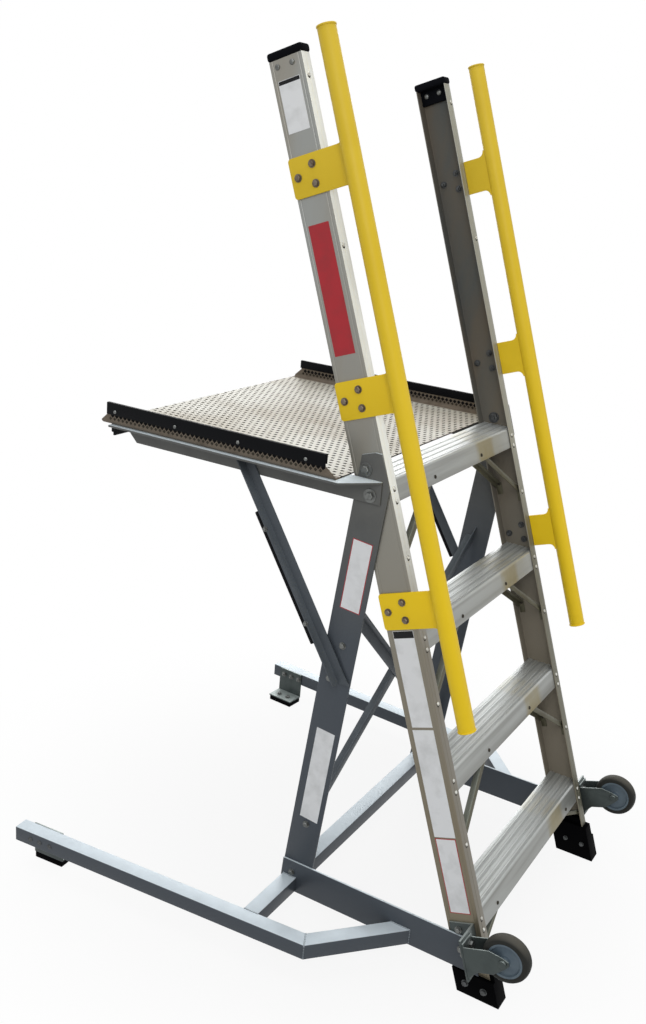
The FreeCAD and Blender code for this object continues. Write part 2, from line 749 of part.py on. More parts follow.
def make_outrigger(name, sign):
    """Splayed square tube with a mitred link back to the base beam and a short stub to it."""
    half = "tube / 2"
    reach = f"({CORNER_OUT} - {BEAM_OUTER})"
    mitre = f"{half} * tan((link_swing - outrigger_splay) / 2)"
    hollow = "tube - 2 * tube_wall"

    long_tube = prism("XY_Plane", (
        (f"{sign} * {half}", f"-({mitre})"), (f"{sign} * {half}", "outrigger_length"),
        (f"-({sign}) * {half}", "outrigger_length"), (f"-({sign}) * {half}", mitre),
    ), "tube")
    bore = block(hollow, "outrigger_length + 2 * tube", hollow)
    move(bore, f"-({hollow}) / 2", "-tube", "tube_wall")
    outrigger_place(keep(cut(long_tube, bore), f"{name}_outrigger_tube"), sign)

    # the link's y runs from the corner back towards the beam
    outer_end = f"({reach} + {half} * cos(link_swing)) / sin(link_swing)"
    inner_end = f"({reach} - {half} * cos(link_swing)) / sin(link_swing)"
    link = prism("XY_Plane", (
        (f"-({sign}) * {half}", f"-({mitre})"), (f"-({sign}) * {half}", outer_end),
        (f"{sign} * {half}", inner_end), (f"{sign} * {half}", mitre),
    ), "tube")
    link_bore = block(hollow, f"{outer_end} + 2 * tube", hollow)
    move(link_bore, f"-({hollow}) / 2", "-tube", "tube_wall")
    link = keep(cut(link, link_bore), f"{name}_outrigger_link")
    turn(link, Z_AXIS, f"180 - {sign} * link_swing")
    stand(link, f"{sign} * {CORNER_OUT}", "corner_forward", "outrigger_bottom")

    near = "stub_forward - tube / 2"
    far = "stub_forward + tube / 2"
    face = f"{CORNER_OUT} - tube / 2 / cos(outrigger_splay)"
    near_face = f"{face} + ({near} - corner_forward) * tan(outrigger_splay)"
    far_face = f"{face} + ({far} - corner_forward) * tan(outrigger_splay)"
    stub = prism("XY_Plane", (
        (f"{sign} * {BEAM_OUTER}", near), (f"{sign} * ({near_face})", near),
        (f"{sign} * ({far_face})", far), (f"{sign} * {BEAM_OUTER}", far),
    ), "tube")
    stub_bore = block(f"2 * {CORNER_OUT}", hollow, hollow)
    move(stub_bore, f"-{CORNER_OUT}", f"stub_forward - ({hollow}) / 2", "tube_wall")
    stand(keep(cut(stub, stub_bore), f"{name}_outrigger_stub"), "0", "0", "outrigger_bottom")


def make_outrigger_foot(name, sign):
    """Angle on the tube's inboard face, with a rubber sole under its shelf."""
    inner = "-tube / 2"
    floor = "-outrigger_bottom"
    start = "outrigger_length - bracket_length - bracket_setback"
    shelf = f"{floor} + sole_height"
    angle = prism("XZ_Plane", (
        (f"{sign} * ({inner})", "tube"), (f"{sign} * ({inner} - bracket_sheet)", "tube"),
        (f"{sign} * ({inner} - bracket_sheet)", f"{shelf} + bracket_sheet"),
        (f"{sign} * ({inner} - bracket_shelf)", f"{shelf} + bracket_sheet"),
        (f"{sign} * ({inner} - bracket_shelf)", shelf), (f"{sign} * ({inner})", shelf),
    ), "bracket_length", backward=True)
    outrigger_place(keep(angle, f"{name}_outrigger_bracket"), sign, start)
    sole = prism("XZ_Plane", (
        (f"{sign} * ({inner})", floor), (f"{sign} * ({inner})", shelf),
        (f"{sign} * ({inner} - bracket_shelf + sole_inset)", shelf),
        (f"{sign} * ({inner} - bracket_shelf + sole_inset)", floor),
    ), "bracket_length - 2 * sole_inset", backward=True)
    outrigger_place(keep(sole, f"{name}_outrigger_pad"), sign, f"{start} + sole_inset")


def make_caster(name, sign):
    """Bracket, rigid fork, axle and wheel, all in the rail frame."""
    web = "rail_half"
    lip = "(rail_half + caster_out)"
    back = "(caster_set + caster_sheet)"
    angle = prism("XY_Plane", (
        (f"{sign} * {web}", "caster_set"), (f"{sign} * {lip}", "caster_set"), (f"{sign} * {lip}", back),
        (f"{sign} * ({web} + leg_sheet)", back),
        (f"{sign} * ({web} + leg_sheet)", "caster_set + caster_back"),
        (f"{sign} * {web}", "caster_set + caster_back"),
    ), "caster_high - caster_low")
    lean(keep(angle, f"{name}_caster_bracket"), along="caster_low")

    gap = "(wheel_width / 2 + fork_gap)"
    arm_in = f"({WHEEL_HALF} - {gap})"
    arm_out = f"({WHEEL_HALF} + {gap})"
    seat = "caster_set - fork_plate"
    nose = "(-wheel_stand - fork_nose)"
    low = "fork_root_low"
    high = "fork_root_high"
    side = (
        (seat, low), (seat, high), ("-wheel_stand + 2 * fork_nose", high),
        ("-wheel_stand", "wheel_rise + fork_nose"), (nose, "wheel_rise + fork_nose_flat"),
        (nose, "wheel_rise - fork_nose_flat"), ("-wheel_stand", "wheel_rise - fork_nose"),
        ("-wheel_stand + 2 * fork_nose", "wheel_rise - fork_belly"),
        ("-fork_nose", "wheel_rise - fork_belly"),
    )
    outer, across = slab(sign, arm_out, f"{arm_out} + fork_sheet", side)
    move(outer, across)
    inner, across = slab(sign, f"{arm_in} - fork_sheet", arm_in, side)
    move(inner, across)
    base, across = slab(sign, f"{arm_in} - fork_sheet", f"{arm_out} + fork_sheet", (
        (seat, f"{low} - fork_plate_margin"), ("caster_set", f"{low} - fork_plate_margin"),
        ("caster_set", f"{high} + fork_plate_margin"), (seat, f"{high} + fork_plate_margin"),
    ))
    move(base, across)
    beyond = f"{WHEEL_HALF} + wheel_width + fork_gap"
    hole = cross_rod(sign, "axle_radius", "rail_half", beyond, "-wheel_stand", "wheel_rise")
    lean(keep(cut(fuse(outer, inner, base), hole), f"{name}_caster_fork"))

    inner_face = f"({arm_in} - fork_sheet)"
    outer_face = f"({arm_out} + fork_sheet)"
    shank = cross_rod(sign, "axle_radius", inner_face, outer_face, "-wheel_stand", "wheel_rise")
    head_face = f"{outer_face} + axle_head_height"
    nut_face = f"{inner_face} - axle_head_height"
    head = cross_rod(sign, "axle_head", outer_face, head_face, "-wheel_stand", "wheel_rise")
    nut = cross_rod(sign, "axle_head", nut_face, inner_face, "-wheel_stand", "wheel_rise")
    lean(keep(fuse(shank, head, nut), f"{name}_caster_axle"))

    half = "wheel_width / 2"
    crown = "wheel_radius - tyre_crown"
    tyre = revolved((
        (f"-{half}", "tyre_inner"), (f"-{half}", crown), (f"-{half} + tyre_crown", "wheel_radius"),
        (f"{half} - tyre_crown", "wheel_radius"), (half, crown), (half, "tyre_inner"),
    ))
    lean(keep(tyre, f"{name}_wheel_tyre"), f"{sign} * {WHEEL_HALF}", "-wheel_stand", "wheel_rise")
    boss = f"({half} + fork_gap - boss_gap)"
    bore = "axle_radius + axle_gap"
    hub = revolved((
        (f"-{boss}", bore), (f"-{boss}", "boss_radius"),
        ("-web_half", "boss_radius"), ("-web_half", "rim_inner"),
        ("-rim_half", "rim_inner"), ("-rim_half", "tyre_inner"), ("rim_half", "tyre_inner"),
        ("rim_half", "rim_inner"), ("web_half", "rim_inner"),
        ("web_half", "boss_radius"), (boss, "boss_radius"),
        (boss, bore),
    ))
    lean(keep(hub, f"{name}_wheel_hub"), f"{sign} * {WHEEL_HALF}", "-wheel_stand", "wheel_rise")


def revolved(points):
    """A ring about the X axis, from a section of distance along X and radius."""
    body = doc.addObject("PartDesign::Body", "Body")
    sketch = outline(body, "XZ_Plane", points)
    feature = body.newObject("PartDesign::Revolution", "Revolution")
    feature.Profile = sketch
    feature.ReferenceAxis = (sketch, ["H_Axis"])
    feature.Angle = 360
    body.Tip = feature
    return body


for side_name, side_sign in SIDES:
    make_rail(side_name, side_sign)
    make_rail_cap(side_name, side_sign)
    make_foot(side_name, side_sign)
    make_handrail(side_name, side_sign)
    make_handrail_plates(side_name, side_sign)
    make_rear_leg(side_name, side_sign)
    make_side_angle(side_name, side_sign)
    make_toe_strip(side_name, side_sign)
    make_brace(side_name, side_sign)
    make_base_beam(side_name, side_sign)
    make_outrigger(side_name, side_sign)
    make_outrigger_foot(side_name, side_sign)
    make_caster(side_name, side_sign)
for step_number in range(1, STEP_COUNT + 1):
    make_step(step_number)
    make_gussets(step_number)
make_deck()
make_front_cross_angle()
make_rear_cross_tube()
make_cross_brace("cross_brace_a", "-1", backward=False)
make_cross_brace("cross_brace_b", "1", backward=True)

doc.recompute()
for item in doc.Objects:
    if {"Invalid", "Error"} & set(item.State):
        raise RuntimeError(f"{item.Label} did not build: {item.State}")
for item in subparts:
    if item.Shape.isNull() or not item.Shape.isValid():
        raise RuntimeError(f"{item.Label} has no valid shape")

os.makedirs("parts", exist_ok=True)
for item in subparts:
    item.Shape.exportStep(f"parts/{item.Label}.step")
    print(item.Label, len(item.Shape.Solids), round(item.Shape.Volume))
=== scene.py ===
"""Looks of the maintenance platform: every piece around its CAD frame, with finishes, floor and lights."""

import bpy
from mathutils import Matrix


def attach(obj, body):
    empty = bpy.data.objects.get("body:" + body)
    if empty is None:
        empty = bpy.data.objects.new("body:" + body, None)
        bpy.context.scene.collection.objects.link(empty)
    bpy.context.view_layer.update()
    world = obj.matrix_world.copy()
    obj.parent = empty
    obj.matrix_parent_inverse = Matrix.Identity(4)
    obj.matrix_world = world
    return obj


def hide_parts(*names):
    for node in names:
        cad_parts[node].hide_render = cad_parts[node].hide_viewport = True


bl_info = {
    "name": "Maintenance Platform",
    "version": (1, 0, 0),
    "blender": (4, 5, 0),
    "location": "View3D > Sidebar > Platform",
    "description": "Models and finishes the pieces of a wheeled maintenance platform around its CAD frame",
    "category": "Object",
}

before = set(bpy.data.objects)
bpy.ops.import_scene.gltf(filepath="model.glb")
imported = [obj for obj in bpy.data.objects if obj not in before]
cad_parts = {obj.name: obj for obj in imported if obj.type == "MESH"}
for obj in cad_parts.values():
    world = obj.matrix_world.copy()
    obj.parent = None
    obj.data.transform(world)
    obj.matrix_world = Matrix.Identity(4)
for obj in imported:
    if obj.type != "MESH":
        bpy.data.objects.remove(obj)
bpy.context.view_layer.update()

import math

import bmesh
import bpy
from bpy.props import FloatProperty, FloatVectorProperty, IntProperty, PointerProperty
from mathutils import Matrix, Vector

MM = 0.001
SIDES = (("left", -1), ("right", 1))

# places of the CAD frame on the right side, in millimetres unless they are angles
ORIGIN = 564.7242  # from the foot line of the ladder to the middle of the box
LEAN = math.radians(19.4)
LEG_LEAN = math.radians(5.83)
LEG_AXIS = 545.5
SPLAY = math.radians(4.57)
RAIL_HALF = 343.0
RAIL_DEPTH = 79.2
RAIL_FLANGE = 30.0
RAIL_WALL = 3.0
RAIL_SPAN = (40.0, 2066.0)
STEP_TOPS = (206.0, 514.0, 822.0, 1130.0)
STEP_HALF = 340.0
CORNER = (522.5, 398.7, 62.0)  # where outrigger tube and link meet
FOOT_INNER = 308.0
PLATE_HEIGHTS = (920.5, 1377.7, 1835.0)
DECK_TOP = 1131.0
DECK_HALF = 417.0
DECK_SPAN = (487.0, 1115.0)
WHEEL = (392.0, -79.0, 156.0)
LEG_FACE = 348.0
BEAM_FACE = 353.0

# angles of the points on a rounded corner
QUARTER_TURN = tuple(math.radians(15 * number) for number in range(7))


def leaning(forward, angle):
    """Frame in millimetres that stands on the floor at a distance forward, leaning by an angle."""
    place = Matrix.Translation((0, (forward - ORIGIN) * MM, 0))
    return place @ Matrix.Rotation(angle, 4, "X") @ Matrix.Scale(MM, 4)


UPRIGHT = leaning(0, 0)
RAIL = leaning(0, -LEAN)
LEG = leaning(LEG_AXIS, LEG_LEAN)


def tone(red, green, blue):
    """Linear colour from a paint chip read on a 0 to 255 scale."""
    def linear(level):
        share = level / 255
        return share / 12.92 if share <= 0.04045 else ((share + 0.055) / 1.055) ** 2.4
    return tuple(linear(level) for level in (red, green, blue))


def colour(label, note, chip):
    """Colour property whose default is a paint chip."""
    return FloatVectorProperty(
        name=label, description=note, default=tone(*chip), subtype="COLOR", size=3, min=0, max=1)


def length(label, note, value):
    """Length property whose default is given in millimetres."""
    return FloatProperty(
        name=label, description=note, default=value * MM, subtype="DISTANCE", unit="LENGTH", min=0)


class PlatformSizes(bpy.types.PropertyGroup):
    rivet_radius: length("Rivet radius", "Radius of the dome rivets in rails and steps", 4.6)
    bolt_radius: length("Bolt head radius", "Corner radius of the hexagon heads", 6.5)
    edge_round: length("Edge rounding", "Rounding of the rolled and cut steel edges", 0.9)
    tube_round: length("Tube corner", "Corner radius of the square tubes", 4.0)
    step_ribs: IntProperty(name="Step ribs", description="Raised ribs along each tread", default=4, min=1)
    rib_height: length("Rib height", "How far the ribs stand above the valleys of the tread", 1.2)
    deck_pitch: length("Deck row pitch", "Distance between slots in a column", 16.526)
    slot_pitch: length("Deck column pitch", "Distance between the columns of slots", 17.86)
    slot_width: length("Deck slot width", "Width of each slot across the climber's way", 6.6)
    slot_length: length("Deck slot length", "Length of each slot along the climber's way", 8.2)


class PlatformColours(bpy.types.PropertyGroup):
    aluminium: colour("Aluminium", "Extruded rails", (149, 151, 148))
    tread: colour("Tread", "Bright ribbed steps", (152, 154, 151))
    stain: colour("Aluminium stain", "Dull brownish film on the aluminium", (140, 128, 108))
    steel: colour("Steel paint", "Satin coat of the steel frame", (94, 95, 93))
    yellow: colour("Handrail yellow", "Coat of handrails and plates", (212, 182, 46))
    black: colour("Moulding black", "Rail caps", (12, 13, 17))
    edging: colour("Edging", "Rubber edging and bumpers", (7, 8, 11))
    deck: colour("Deck", "Coat of the perforated deck", (192, 190, 180))
    deck_soil: colour("Deck soil", "Worn and soiled areas of the deck", (150, 138, 118))
    tyre: colour("Tyre", "Rubber of the wheels", (43, 44, 42))
    hub: colour("Hub", "Moulded wheel centres", (90, 104, 114))
    zinc: colour("Zinc", "Plated brackets and forks", (70, 77, 76))
    label: colour("Label", "Blank label fields", (226, 228, 230))
    label_frame: colour("Label frame", "Red frame of blank labels", (170, 44, 52))


# ---------------------------------------------------------------- node groups

WHITE = (1, 1, 1, 1)
SOIL = (0.3, 0.25, 0.2, 1)
OLD_DUST = (0.4, 0.37, 0.32)
ALL_WAYS = (1, 1, 1)
ALONG_X = (0.04, 1, 1)
ALONG_RAIL = (1, 1, 0.05)


def new_group(name, inputs, outputs):
    """Empty shader group; inputs are {name: default}, where a colour has four numbers and a vector three."""
    kinds = {4: "NodeSocketColor", 3: "NodeSocketVector"}
    group = bpy.data.node_groups.new(name, "ShaderNodeTree")
    for title, default in inputs.items():
        kind = kinds[len(default)] if isinstance(default, tuple) else "NodeSocketFloat"
        socket = group.interface.new_socket(title, in_out="INPUT", socket_type=kind)
        socket.default_value = default
    for title in outputs:
        kind = "NodeSocketColor" if title == "Color" else "NodeSocketFloat"
        group.interface.new_socket(title, in_out="OUTPUT", socket_type=kind)
    return group, group.nodes.new("NodeGroupInput").outputs, group.nodes.new("NodeGroupOutput").inputs


def add_node(tree, kind, sockets=None, **settings):
    """Node with settings; sockets are {input: the output that feeds it, or its plain value}."""
    node = tree.nodes.new(kind)
    for key, value in settings.items():
        setattr(node, key, value)
    for key, source in (sockets or {}).items():
        if isinstance(source, bpy.types.NodeSocket):
            tree.links.new(source, node.inputs[key])
        else:
            node.inputs[key].default_value = source
    return node


def ranged(tree, value, **limits):
    """Output of a Map Range node; limits are From_Min, From_Max, To_Min and To_Max."""
    sockets = {key.replace("_", " "): limit for key, limit in limits.items()}
    return add_node(tree, "ShaderNodeMapRange", {"Value": value, **sockets}).outputs["Result"]


def maths(tree, operation, *values, **settings):
    """Output of a Math node fed by sockets or numbers."""
    node = add_node(tree, "ShaderNodeMath", dict(enumerate(values)), operation=operation, **settings)
    return node.outputs[0]


def mixed(tree, factor, first, second):
    """Colour that goes from the first to the second as the factor rises."""
    node = add_node(tree, "ShaderNodeMix", {"Factor": factor, 6: first, 7: second}, data_type="RGBA")
    return node.outputs[2]


def object_axis(tree, axis):
    """Distance along one of the object's own axes."""
    place = add_node(tree, "ShaderNodeTexCoord")
    return add_node(tree, "ShaderNodeSeparateXYZ", {"Vector": place.outputs["Object"]}).outputs[axis]


def stretched_noise(tree, stretch, scale, detail=4.0):
    """Noise in Object coordinates, stretched by a vector socket."""
    place = add_node(tree, "ShaderNodeTexCoord")
    mapping = add_node(tree, "ShaderNodeMapping", {"Vector": place.outputs["Object"], "Scale": stretch})
    noise = add_node(tree, "ShaderNodeTexNoise", {
        "Vector": mapping.outputs["Vector"], "Scale": scale, "Detail": detail})
    return noise.outputs["Fac"]


def build_stain_group():
    """Patches of a second colour over a base colour, with a roughness that follows them."""
    group, given, result = new_group("patchy_stain", {
        "Base": WHITE, "Stain": SOIL, "Stretch": ALL_WAYS, "Scale": 6.0, "Amount": 0.5, "Clean": 0.45,
        "Rough Low": 0.3, "Rough High": 0.5}, ("Color", "Roughness"))
    noise = stretched_noise(group, given["Stretch"], given["Scale"], 6.0)
    patches = ranged(group, noise, From_Min=given["Clean"], From_Max=0.72)
    mask = maths(group, "MULTIPLY", patches, given["Amount"])
    rough = ranged(group, noise, To_Min=given["Rough Low"], To_Max=given["Rough High"])
    group.links.new(mixed(group, mask, given["Base"], given["Stain"]), result["Color"])
    group.links.new(rough, result["Roughness"])


def build_grain_group():
    """Fine relief: stretched noise, for brushed metal, orange peel and moulded skin."""
    group, given, result = new_group("surface_grain", {"Stretch": ALL_WAYS, "Scale": 400.0}, ("Height",))
    group.links.new(stretched_noise(group, given["Stretch"], given["Scale"], 3.0), result["Height"])


def build_dust_and_sheen_group():
    """A pale colour on faces that look up: a settled dusting on some finishes, and on others a painted sheen
    of the light from above.
    """
    group, given, result = new_group("dust_and_top_sheen", {
        "Color": WHITE, "Dust": (*OLD_DUST, 1), "Amount": 0.3, "Scale": 30.0, "Even": 0.0,
        "Stretch": ALL_WAYS}, ("Color",))
    geometry = add_node(group, "ShaderNodeNewGeometry")
    normal = add_node(group, "ShaderNodeSeparateXYZ", {"Vector": geometry.outputs["Normal"]})
    upward = ranged(group, normal.outputs["Z"], From_Min=0.35)
    noise = stretched_noise(group, given["Stretch"], given["Scale"])
    cover = maths(group, "MULTIPLY", upward, ranged(group, noise, To_Min=given["Even"]))
    amount = maths(group, "MULTIPLY", cover, given["Amount"])
    group.links.new(mixed(group, amount, given["Color"], given["Dust"]), result["Color"])


def build_height_group():
    """A colour that takes over towards the floor; on the rails' front faces it is painted shade, and in their
    hollows it pales the painted shade low down.
    """
    group, given, result = new_group("floorward_tint", {
        "Color": WHITE, "Film": SOIL, "Low": 0.3, "High": 1.6}, ("Color",))
    level = ranged(group, object_axis(group, "Z"), From_Min=given["High"], From_Max=given["Low"])
    group.links.new(mixed(group, level, given["Color"], given["Film"]), result["Color"])


def build_band_group():
    """An uneven tint across part of a long piece."""
    group, given, result = new_group("tinted_band", {
        "Color": WHITE, "Tint": (0.4, 0.3, 0.15, 1), "Start": 0.1, "End": 0.2, "Scale": 40.0,
        "Stretch": (1, 1, 0.3)}, ("Color",))
    noise = stretched_noise(group, given["Stretch"], given["Scale"])
    wavering = maths(group, "MULTIPLY_ADD", noise, 0.03, object_axis(group, "X"))
    level = ranged(group, wavering, From_Min=given["Start"], From_Max=given["End"])
    peak = maths(group, "PINGPONG", level, 0.5)
    plateau = maths(group, "MULTIPLY", peak, 4.5, use_clamp=True)
    mask = maths(group, "MULTIPLY", plateau, ranged(group, noise, To_Min=0.45))
    group.links.new(mixed(group, mask, given["Color"], given["Tint"]), result["Color"])


# ---------------------------------------------------------------- materials

def placed(tree, name, **values):
    """A shared group placed in a material with its own values."""
    return add_node(tree, "ShaderNodeGroup", {key.replace("_", " "): value for key, value in values.items()},
                    node_tree=bpy.data.node_groups[name])


def solid(rgb):
    """Colour with full opacity."""
    return (*rgb, 1.0)


def build_finish(name, base, stain, rough, patches, metallic=0.0, shine=0.5, clean=0.45, stretch=ALL_WAYS,
                 grain=(900, 0.03), grain_stretch=ALL_WAYS, lower_tint=None, band=None, dust_and_sheen=None,
                 dust_and_sheen_stretch=ALL_WAYS):
    """Principled material in layers: patches of stain, a tint towards the floor, a band, a pale layer on
    faces that look up and a fine grain.

    rough is the lowest and highest roughness, patches the scale and strength of the stain, and clean the
    noise level under which none shows. grain is its scale and its depth in millimetres. The tint towards the
    floor is a colour, the height in metres where it is full and the one where it ends; on some finishes it
    paints shade. band is a colour with its start and end along X, in metres. The pale top layer is its
    strength, its
    colour and its least cover: a settled dusting on some finishes, a painted sheen of the light from above on
    others.
    """
    material = bpy.data.materials.new(name)
    material.use_nodes = True
    tree = material.node_tree
    shader = tree.nodes["Principled BSDF"]
    shader.inputs["Metallic"].default_value = metallic
    shader.inputs["Specular IOR Level"].default_value = shine
    patch = placed(tree, "patchy_stain", Base=solid(base), Stain=solid(stain), Stretch=stretch,
                   Scale=patches[0], Amount=patches[1], Clean=clean, Rough_Low=rough[0], Rough_High=rough[1])
    shade = patch.outputs["Color"]
    if lower_tint:
        tint, low, high = lower_tint
        shade = placed(tree, "floorward_tint", Color=shade, Film=solid(tint), Low=low, High=high).outputs["Color"]
    if band:
        tint, start, end = band
        shade = placed(tree, "tinted_band", Color=shade, Tint=solid(tint), Start=start,
                       End=end).outputs["Color"]
    if dust_and_sheen:
        amount, tint, even = dust_and_sheen
        shade = placed(tree, "dust_and_top_sheen", Color=shade, Dust=solid(tint), Amount=amount, Even=even,
                       Stretch=dust_and_sheen_stretch).outputs["Color"]
    tree.links.new(shade, shader.inputs["Base Color"])
    tree.links.new(patch.outputs["Roughness"], shader.inputs["Roughness"])
    scale, depth = grain
    relief = placed(tree, "surface_grain", Stretch=grain_stretch, Scale=scale)
    bump = add_node(tree, "ShaderNodeBump", {"Height": relief.outputs["Height"], "Distance": depth * MM})
    tree.links.new(bump.outputs["Normal"], shader.inputs["Normal"])


def build_rail_finishes(tints):
    """Brushed rails: their webs; the hollows, in a dark finish that is painted shade; and the front faces,
    painted lit on the left rail and in painted shade on the right.
    """
    brushed = {"clean": 0.42, "stretch": ALONG_RAIL, "grain": (900, 0.05), "grain_stretch": ALONG_RAIL}
    build_finish("rail_metal", tints.aluminium, tints.stain, (0.38, 0.52), (9, 0.5), metallic=0.5, shine=0.3,
                 lower_tint=(tone(124, 116, 99), 0.4, 1.6), dust_and_sheen=(0.1, OLD_DUST, 0), **brushed)
    # Lit and shaded copies of the front faces' finish: painted light on the left rail, painted shade on the
    # right, each darkening towards the floor as painted shade.
    for name, bright, low_shade in (
        ("rail_front_lit", tone(234, 236, 231), tone(122, 117, 106)),
        ("rail_front_shaded", tone(158, 159, 148), tone(107, 105, 91)),
    ):
        build_finish(name, bright, tone(150, 146, 134), (0.36, 0.5), (9, 0.5), metallic=0.5, shine=0.4,
                     lower_tint=(low_shade, 0.78, 1.12), **brushed)
    # The hollows' dark finish is painted shade, paler low down.
    build_finish("rail_hollow_shade", tone(84, 86, 84), tone(104, 94, 80), (0.5, 0.65), (14, 0.8), metallic=0.2,
                 shine=0.15, clean=0.36, stretch=(1, 1, 0.3), grain=(900, 0.05), grain_stretch=ALONG_RAIL,
                 lower_tint=(tone(128, 121, 108), 0.5, 1.4))


def build_step_finishes(tints):
    """Brushed treads with darker valleys and a tinted band, pale on faces that look up as a painted
    highlight, and the angle braces under them.
    """
    brushed = {"clean": 0.42, "stretch": ALONG_X, "grain": (1400, 0.08), "grain_stretch": ALONG_X,
               "dust_and_sheen_stretch": (0.1, 1, 1)}
    # The pale colour on faces that look up, on ribs and valleys alike, is a painted highlight on the treads.
    build_finish("step_metal", tints.tread, tone(104, 103, 96), (0.28, 0.48), (34, 0.8), metallic=0.6,
                 shine=0.3, band=(tone(128, 116, 74), 0.115, 0.235), dust_and_sheen=(0.85, tone(232, 237, 237), 0.1),
                 **brushed)
    build_finish("step_valley", tone(132, 134, 132), tone(84, 83, 78), (0.34, 0.5), (34, 0.8), metallic=0.5,
                 shine=0.2, dust_and_sheen=(0.6, tone(218, 223, 223), 0.1), **brushed)
    # The braces are darkened as painted shade, with a pale painted highlight on faces that look up.
    build_finish("gusset_shade", tone(88, 86, 70), tone(68, 62, 48), (0.38, 0.52), (24, 0.6), metallic=0.4,
                 shine=0.2, grain=(900, 0.05), dust_and_sheen=(0.8, tone(190, 198, 190), 0.5))


def build_painted_finishes(tints):
    """Satin coat of the frame in the open, with a painted sheen on faces that look up and darker towards the
    floor; a copy in painted shade; a near-black copy under the deck; and the handrails' coat.
    """
    # The pale blue on faces that look up is a painted sheen of the light from above; the coat goes darker
    # towards the floor.
    build_finish("steel_paint", tints.steel, tone(60, 62, 63), (0.34, 0.48), (12, 0.35), metallic=0.1,
                 shine=0.25, lower_tint=(tone(71, 77, 84), 0.75, 1.05), dust_and_sheen=(0.97, tone(228, 240, 248), 0.8))
    # A copy of the coat in painted shade, with a fainter painted sheen on faces that look up.
    build_finish("steel_shaded", tone(76, 82, 88), tone(56, 60, 64), (0.34, 0.48), (12, 0.4), metallic=0.1,
                 shine=0.25, dust_and_sheen=(0.35, tone(200, 212, 222), 0.3))
    build_finish("steel_dark", tone(14, 15, 17), tone(24, 25, 28), (0.4, 0.55), (12, 0.5), shine=0.1)
    build_finish("handrail_coat", tints.yellow, tone(200, 168, 30), (0.42, 0.55), (8, 0.4), shine=0.3,
                 grain=(700, 0.03), lower_tint=(tone(238, 202, 24), 0.9, 1.9))


def build_moulded_finishes(tints):
    """Caps, feet, edging and wheels."""
    skin = (1200, 0.06)
    build_finish("cap_moulding", tints.black, tone(20, 21, 26), (0.65, 0.8), (20, 0.6), shine=0.03,
                 grain=skin)
    build_finish("boot_rubber", tone(3, 3, 4), tone(7, 7, 8), (0.55, 0.7), (20, 0.6), shine=0.02, grain=skin)
    build_finish("rubber_edging", tints.edging, tone(12, 13, 17), (0.45, 0.6), (25, 0.5), shine=0.08,
                 grain=(900, 0.05), dust_and_sheen=(0.04, OLD_DUST, 0))
    build_finish("tyre_rubber", tints.tyre, tone(38, 38, 34), (0.55, 0.7), (30, 0.6), shine=0.12,
                 grain=(800, 0.08), dust_and_sheen=(0.45, tone(132, 128, 118), 0.4))
    build_finish("hub_moulding", tints.hub, tone(56, 70, 86), (0.35, 0.5), (40, 0.4), shine=0.3)


def build_deck_finishes(tints):
    """Worn coat of the deck; its slots, in a dark finish that is painted shade; its folded sides, and the
    marks along the folds.
    """
    bare = (500, 0.04)
    build_finish("deck_coat", tints.deck, tints.deck_soil, (0.4, 0.6), (5, 0.8), metallic=0.1, shine=0.3,
                 clean=0.42, stretch=(1, 0.6, 1), grain=(500, 0.05))
    build_finish("deck_wall", tone(112, 102, 90), tone(84, 76, 66), (0.5, 0.7), (40, 0.6), metallic=0.1,
                 shine=0.2, grain=bare)
    # Slot floors and walls and the sheet's cut edges, darkened as painted shade.
    build_finish("deck_slot_shade", tone(56, 51, 45), tone(78, 71, 62), (0.6, 0.8), (40, 0.6), shine=0.1,
                 grain=bare)
    build_finish("black_mark", tone(10, 10, 10), tone(22, 21, 20), (0.6, 0.7), (20, 0.6), shine=0.05,
                 grain=(1200, 0.06))
    # Dark rings hung under the rivets, and the dark rivets of skirts and hollows, are painted shadow; the
    # faint marks on the deck's sides share this finish.
    build_finish("soil_and_shadow_ring", tone(58, 54, 46), tone(40, 37, 32), (0.5, 0.7), (60, 0.6), metallic=0.1,
                 shine=0.1, grain=(900, 0.04))


def build_plated_finishes(tints):
    """Zinc plate of brackets and forks, bolts bright, dark and rusty, and rivets."""
    build_finish("zinc_plate", tints.zinc, tone(54, 61, 61), (0.34, 0.48), (24, 0.6), metallic=0.6,
                 shine=0.3, grain=(600, 0.04), dust_and_sheen=(0.8, tone(196, 206, 204), 0.6))
    build_finish("bolt_zinc", tone(112, 114, 112), tone(60, 60, 58), (0.3, 0.42), (90, 0.6), metallic=0.8,
                 grain=(900, 0.02), dust_and_sheen=(0.5, tone(210, 214, 214), 0.6))
    build_finish("bolt_dark", tone(82, 84, 85), tone(28, 28, 28), (0.32, 0.45), (90, 0.6), metallic=0.6,
                 shine=0.3, grain=(900, 0.02))
    build_finish("bolt_rusty", tone(118, 108, 96), tone(72, 54, 40), (0.34, 0.48), (90, 0.9), metallic=0.6,
                 shine=0.3)
    build_finish("rivet_metal", tone(196, 196, 190), tone(112, 104, 92), (0.28, 0.4), (60, 0.5),
                 metallic=0.85, grain=(900, 0.02))


def build_label_finishes(tints):
    """Blank label fields and their frames."""
    for name, base, stain, shine in (
        ("label_field", tints.label, tone(190, 192, 192), 0.3),
        ("label_black", tone(16, 16, 18), tone(30, 30, 32), 0.2),
        ("label_red", tints.label_frame, tone(140, 50, 54), 0.3),
    ):
        build_finish(name, base, stain, (0.4, 0.55), (30, 0.5), shine=shine, grain=(900, 0.01))


def build_materials(tints):
    """Every finish of the platform."""
    for build in (build_rail_finishes, build_step_finishes, build_painted_finishes, build_moulded_finishes,
                  build_deck_finishes, build_plated_finishes, build_label_finishes):
        build(tints)


# ---------------------------------------------------------------- shaping helpers

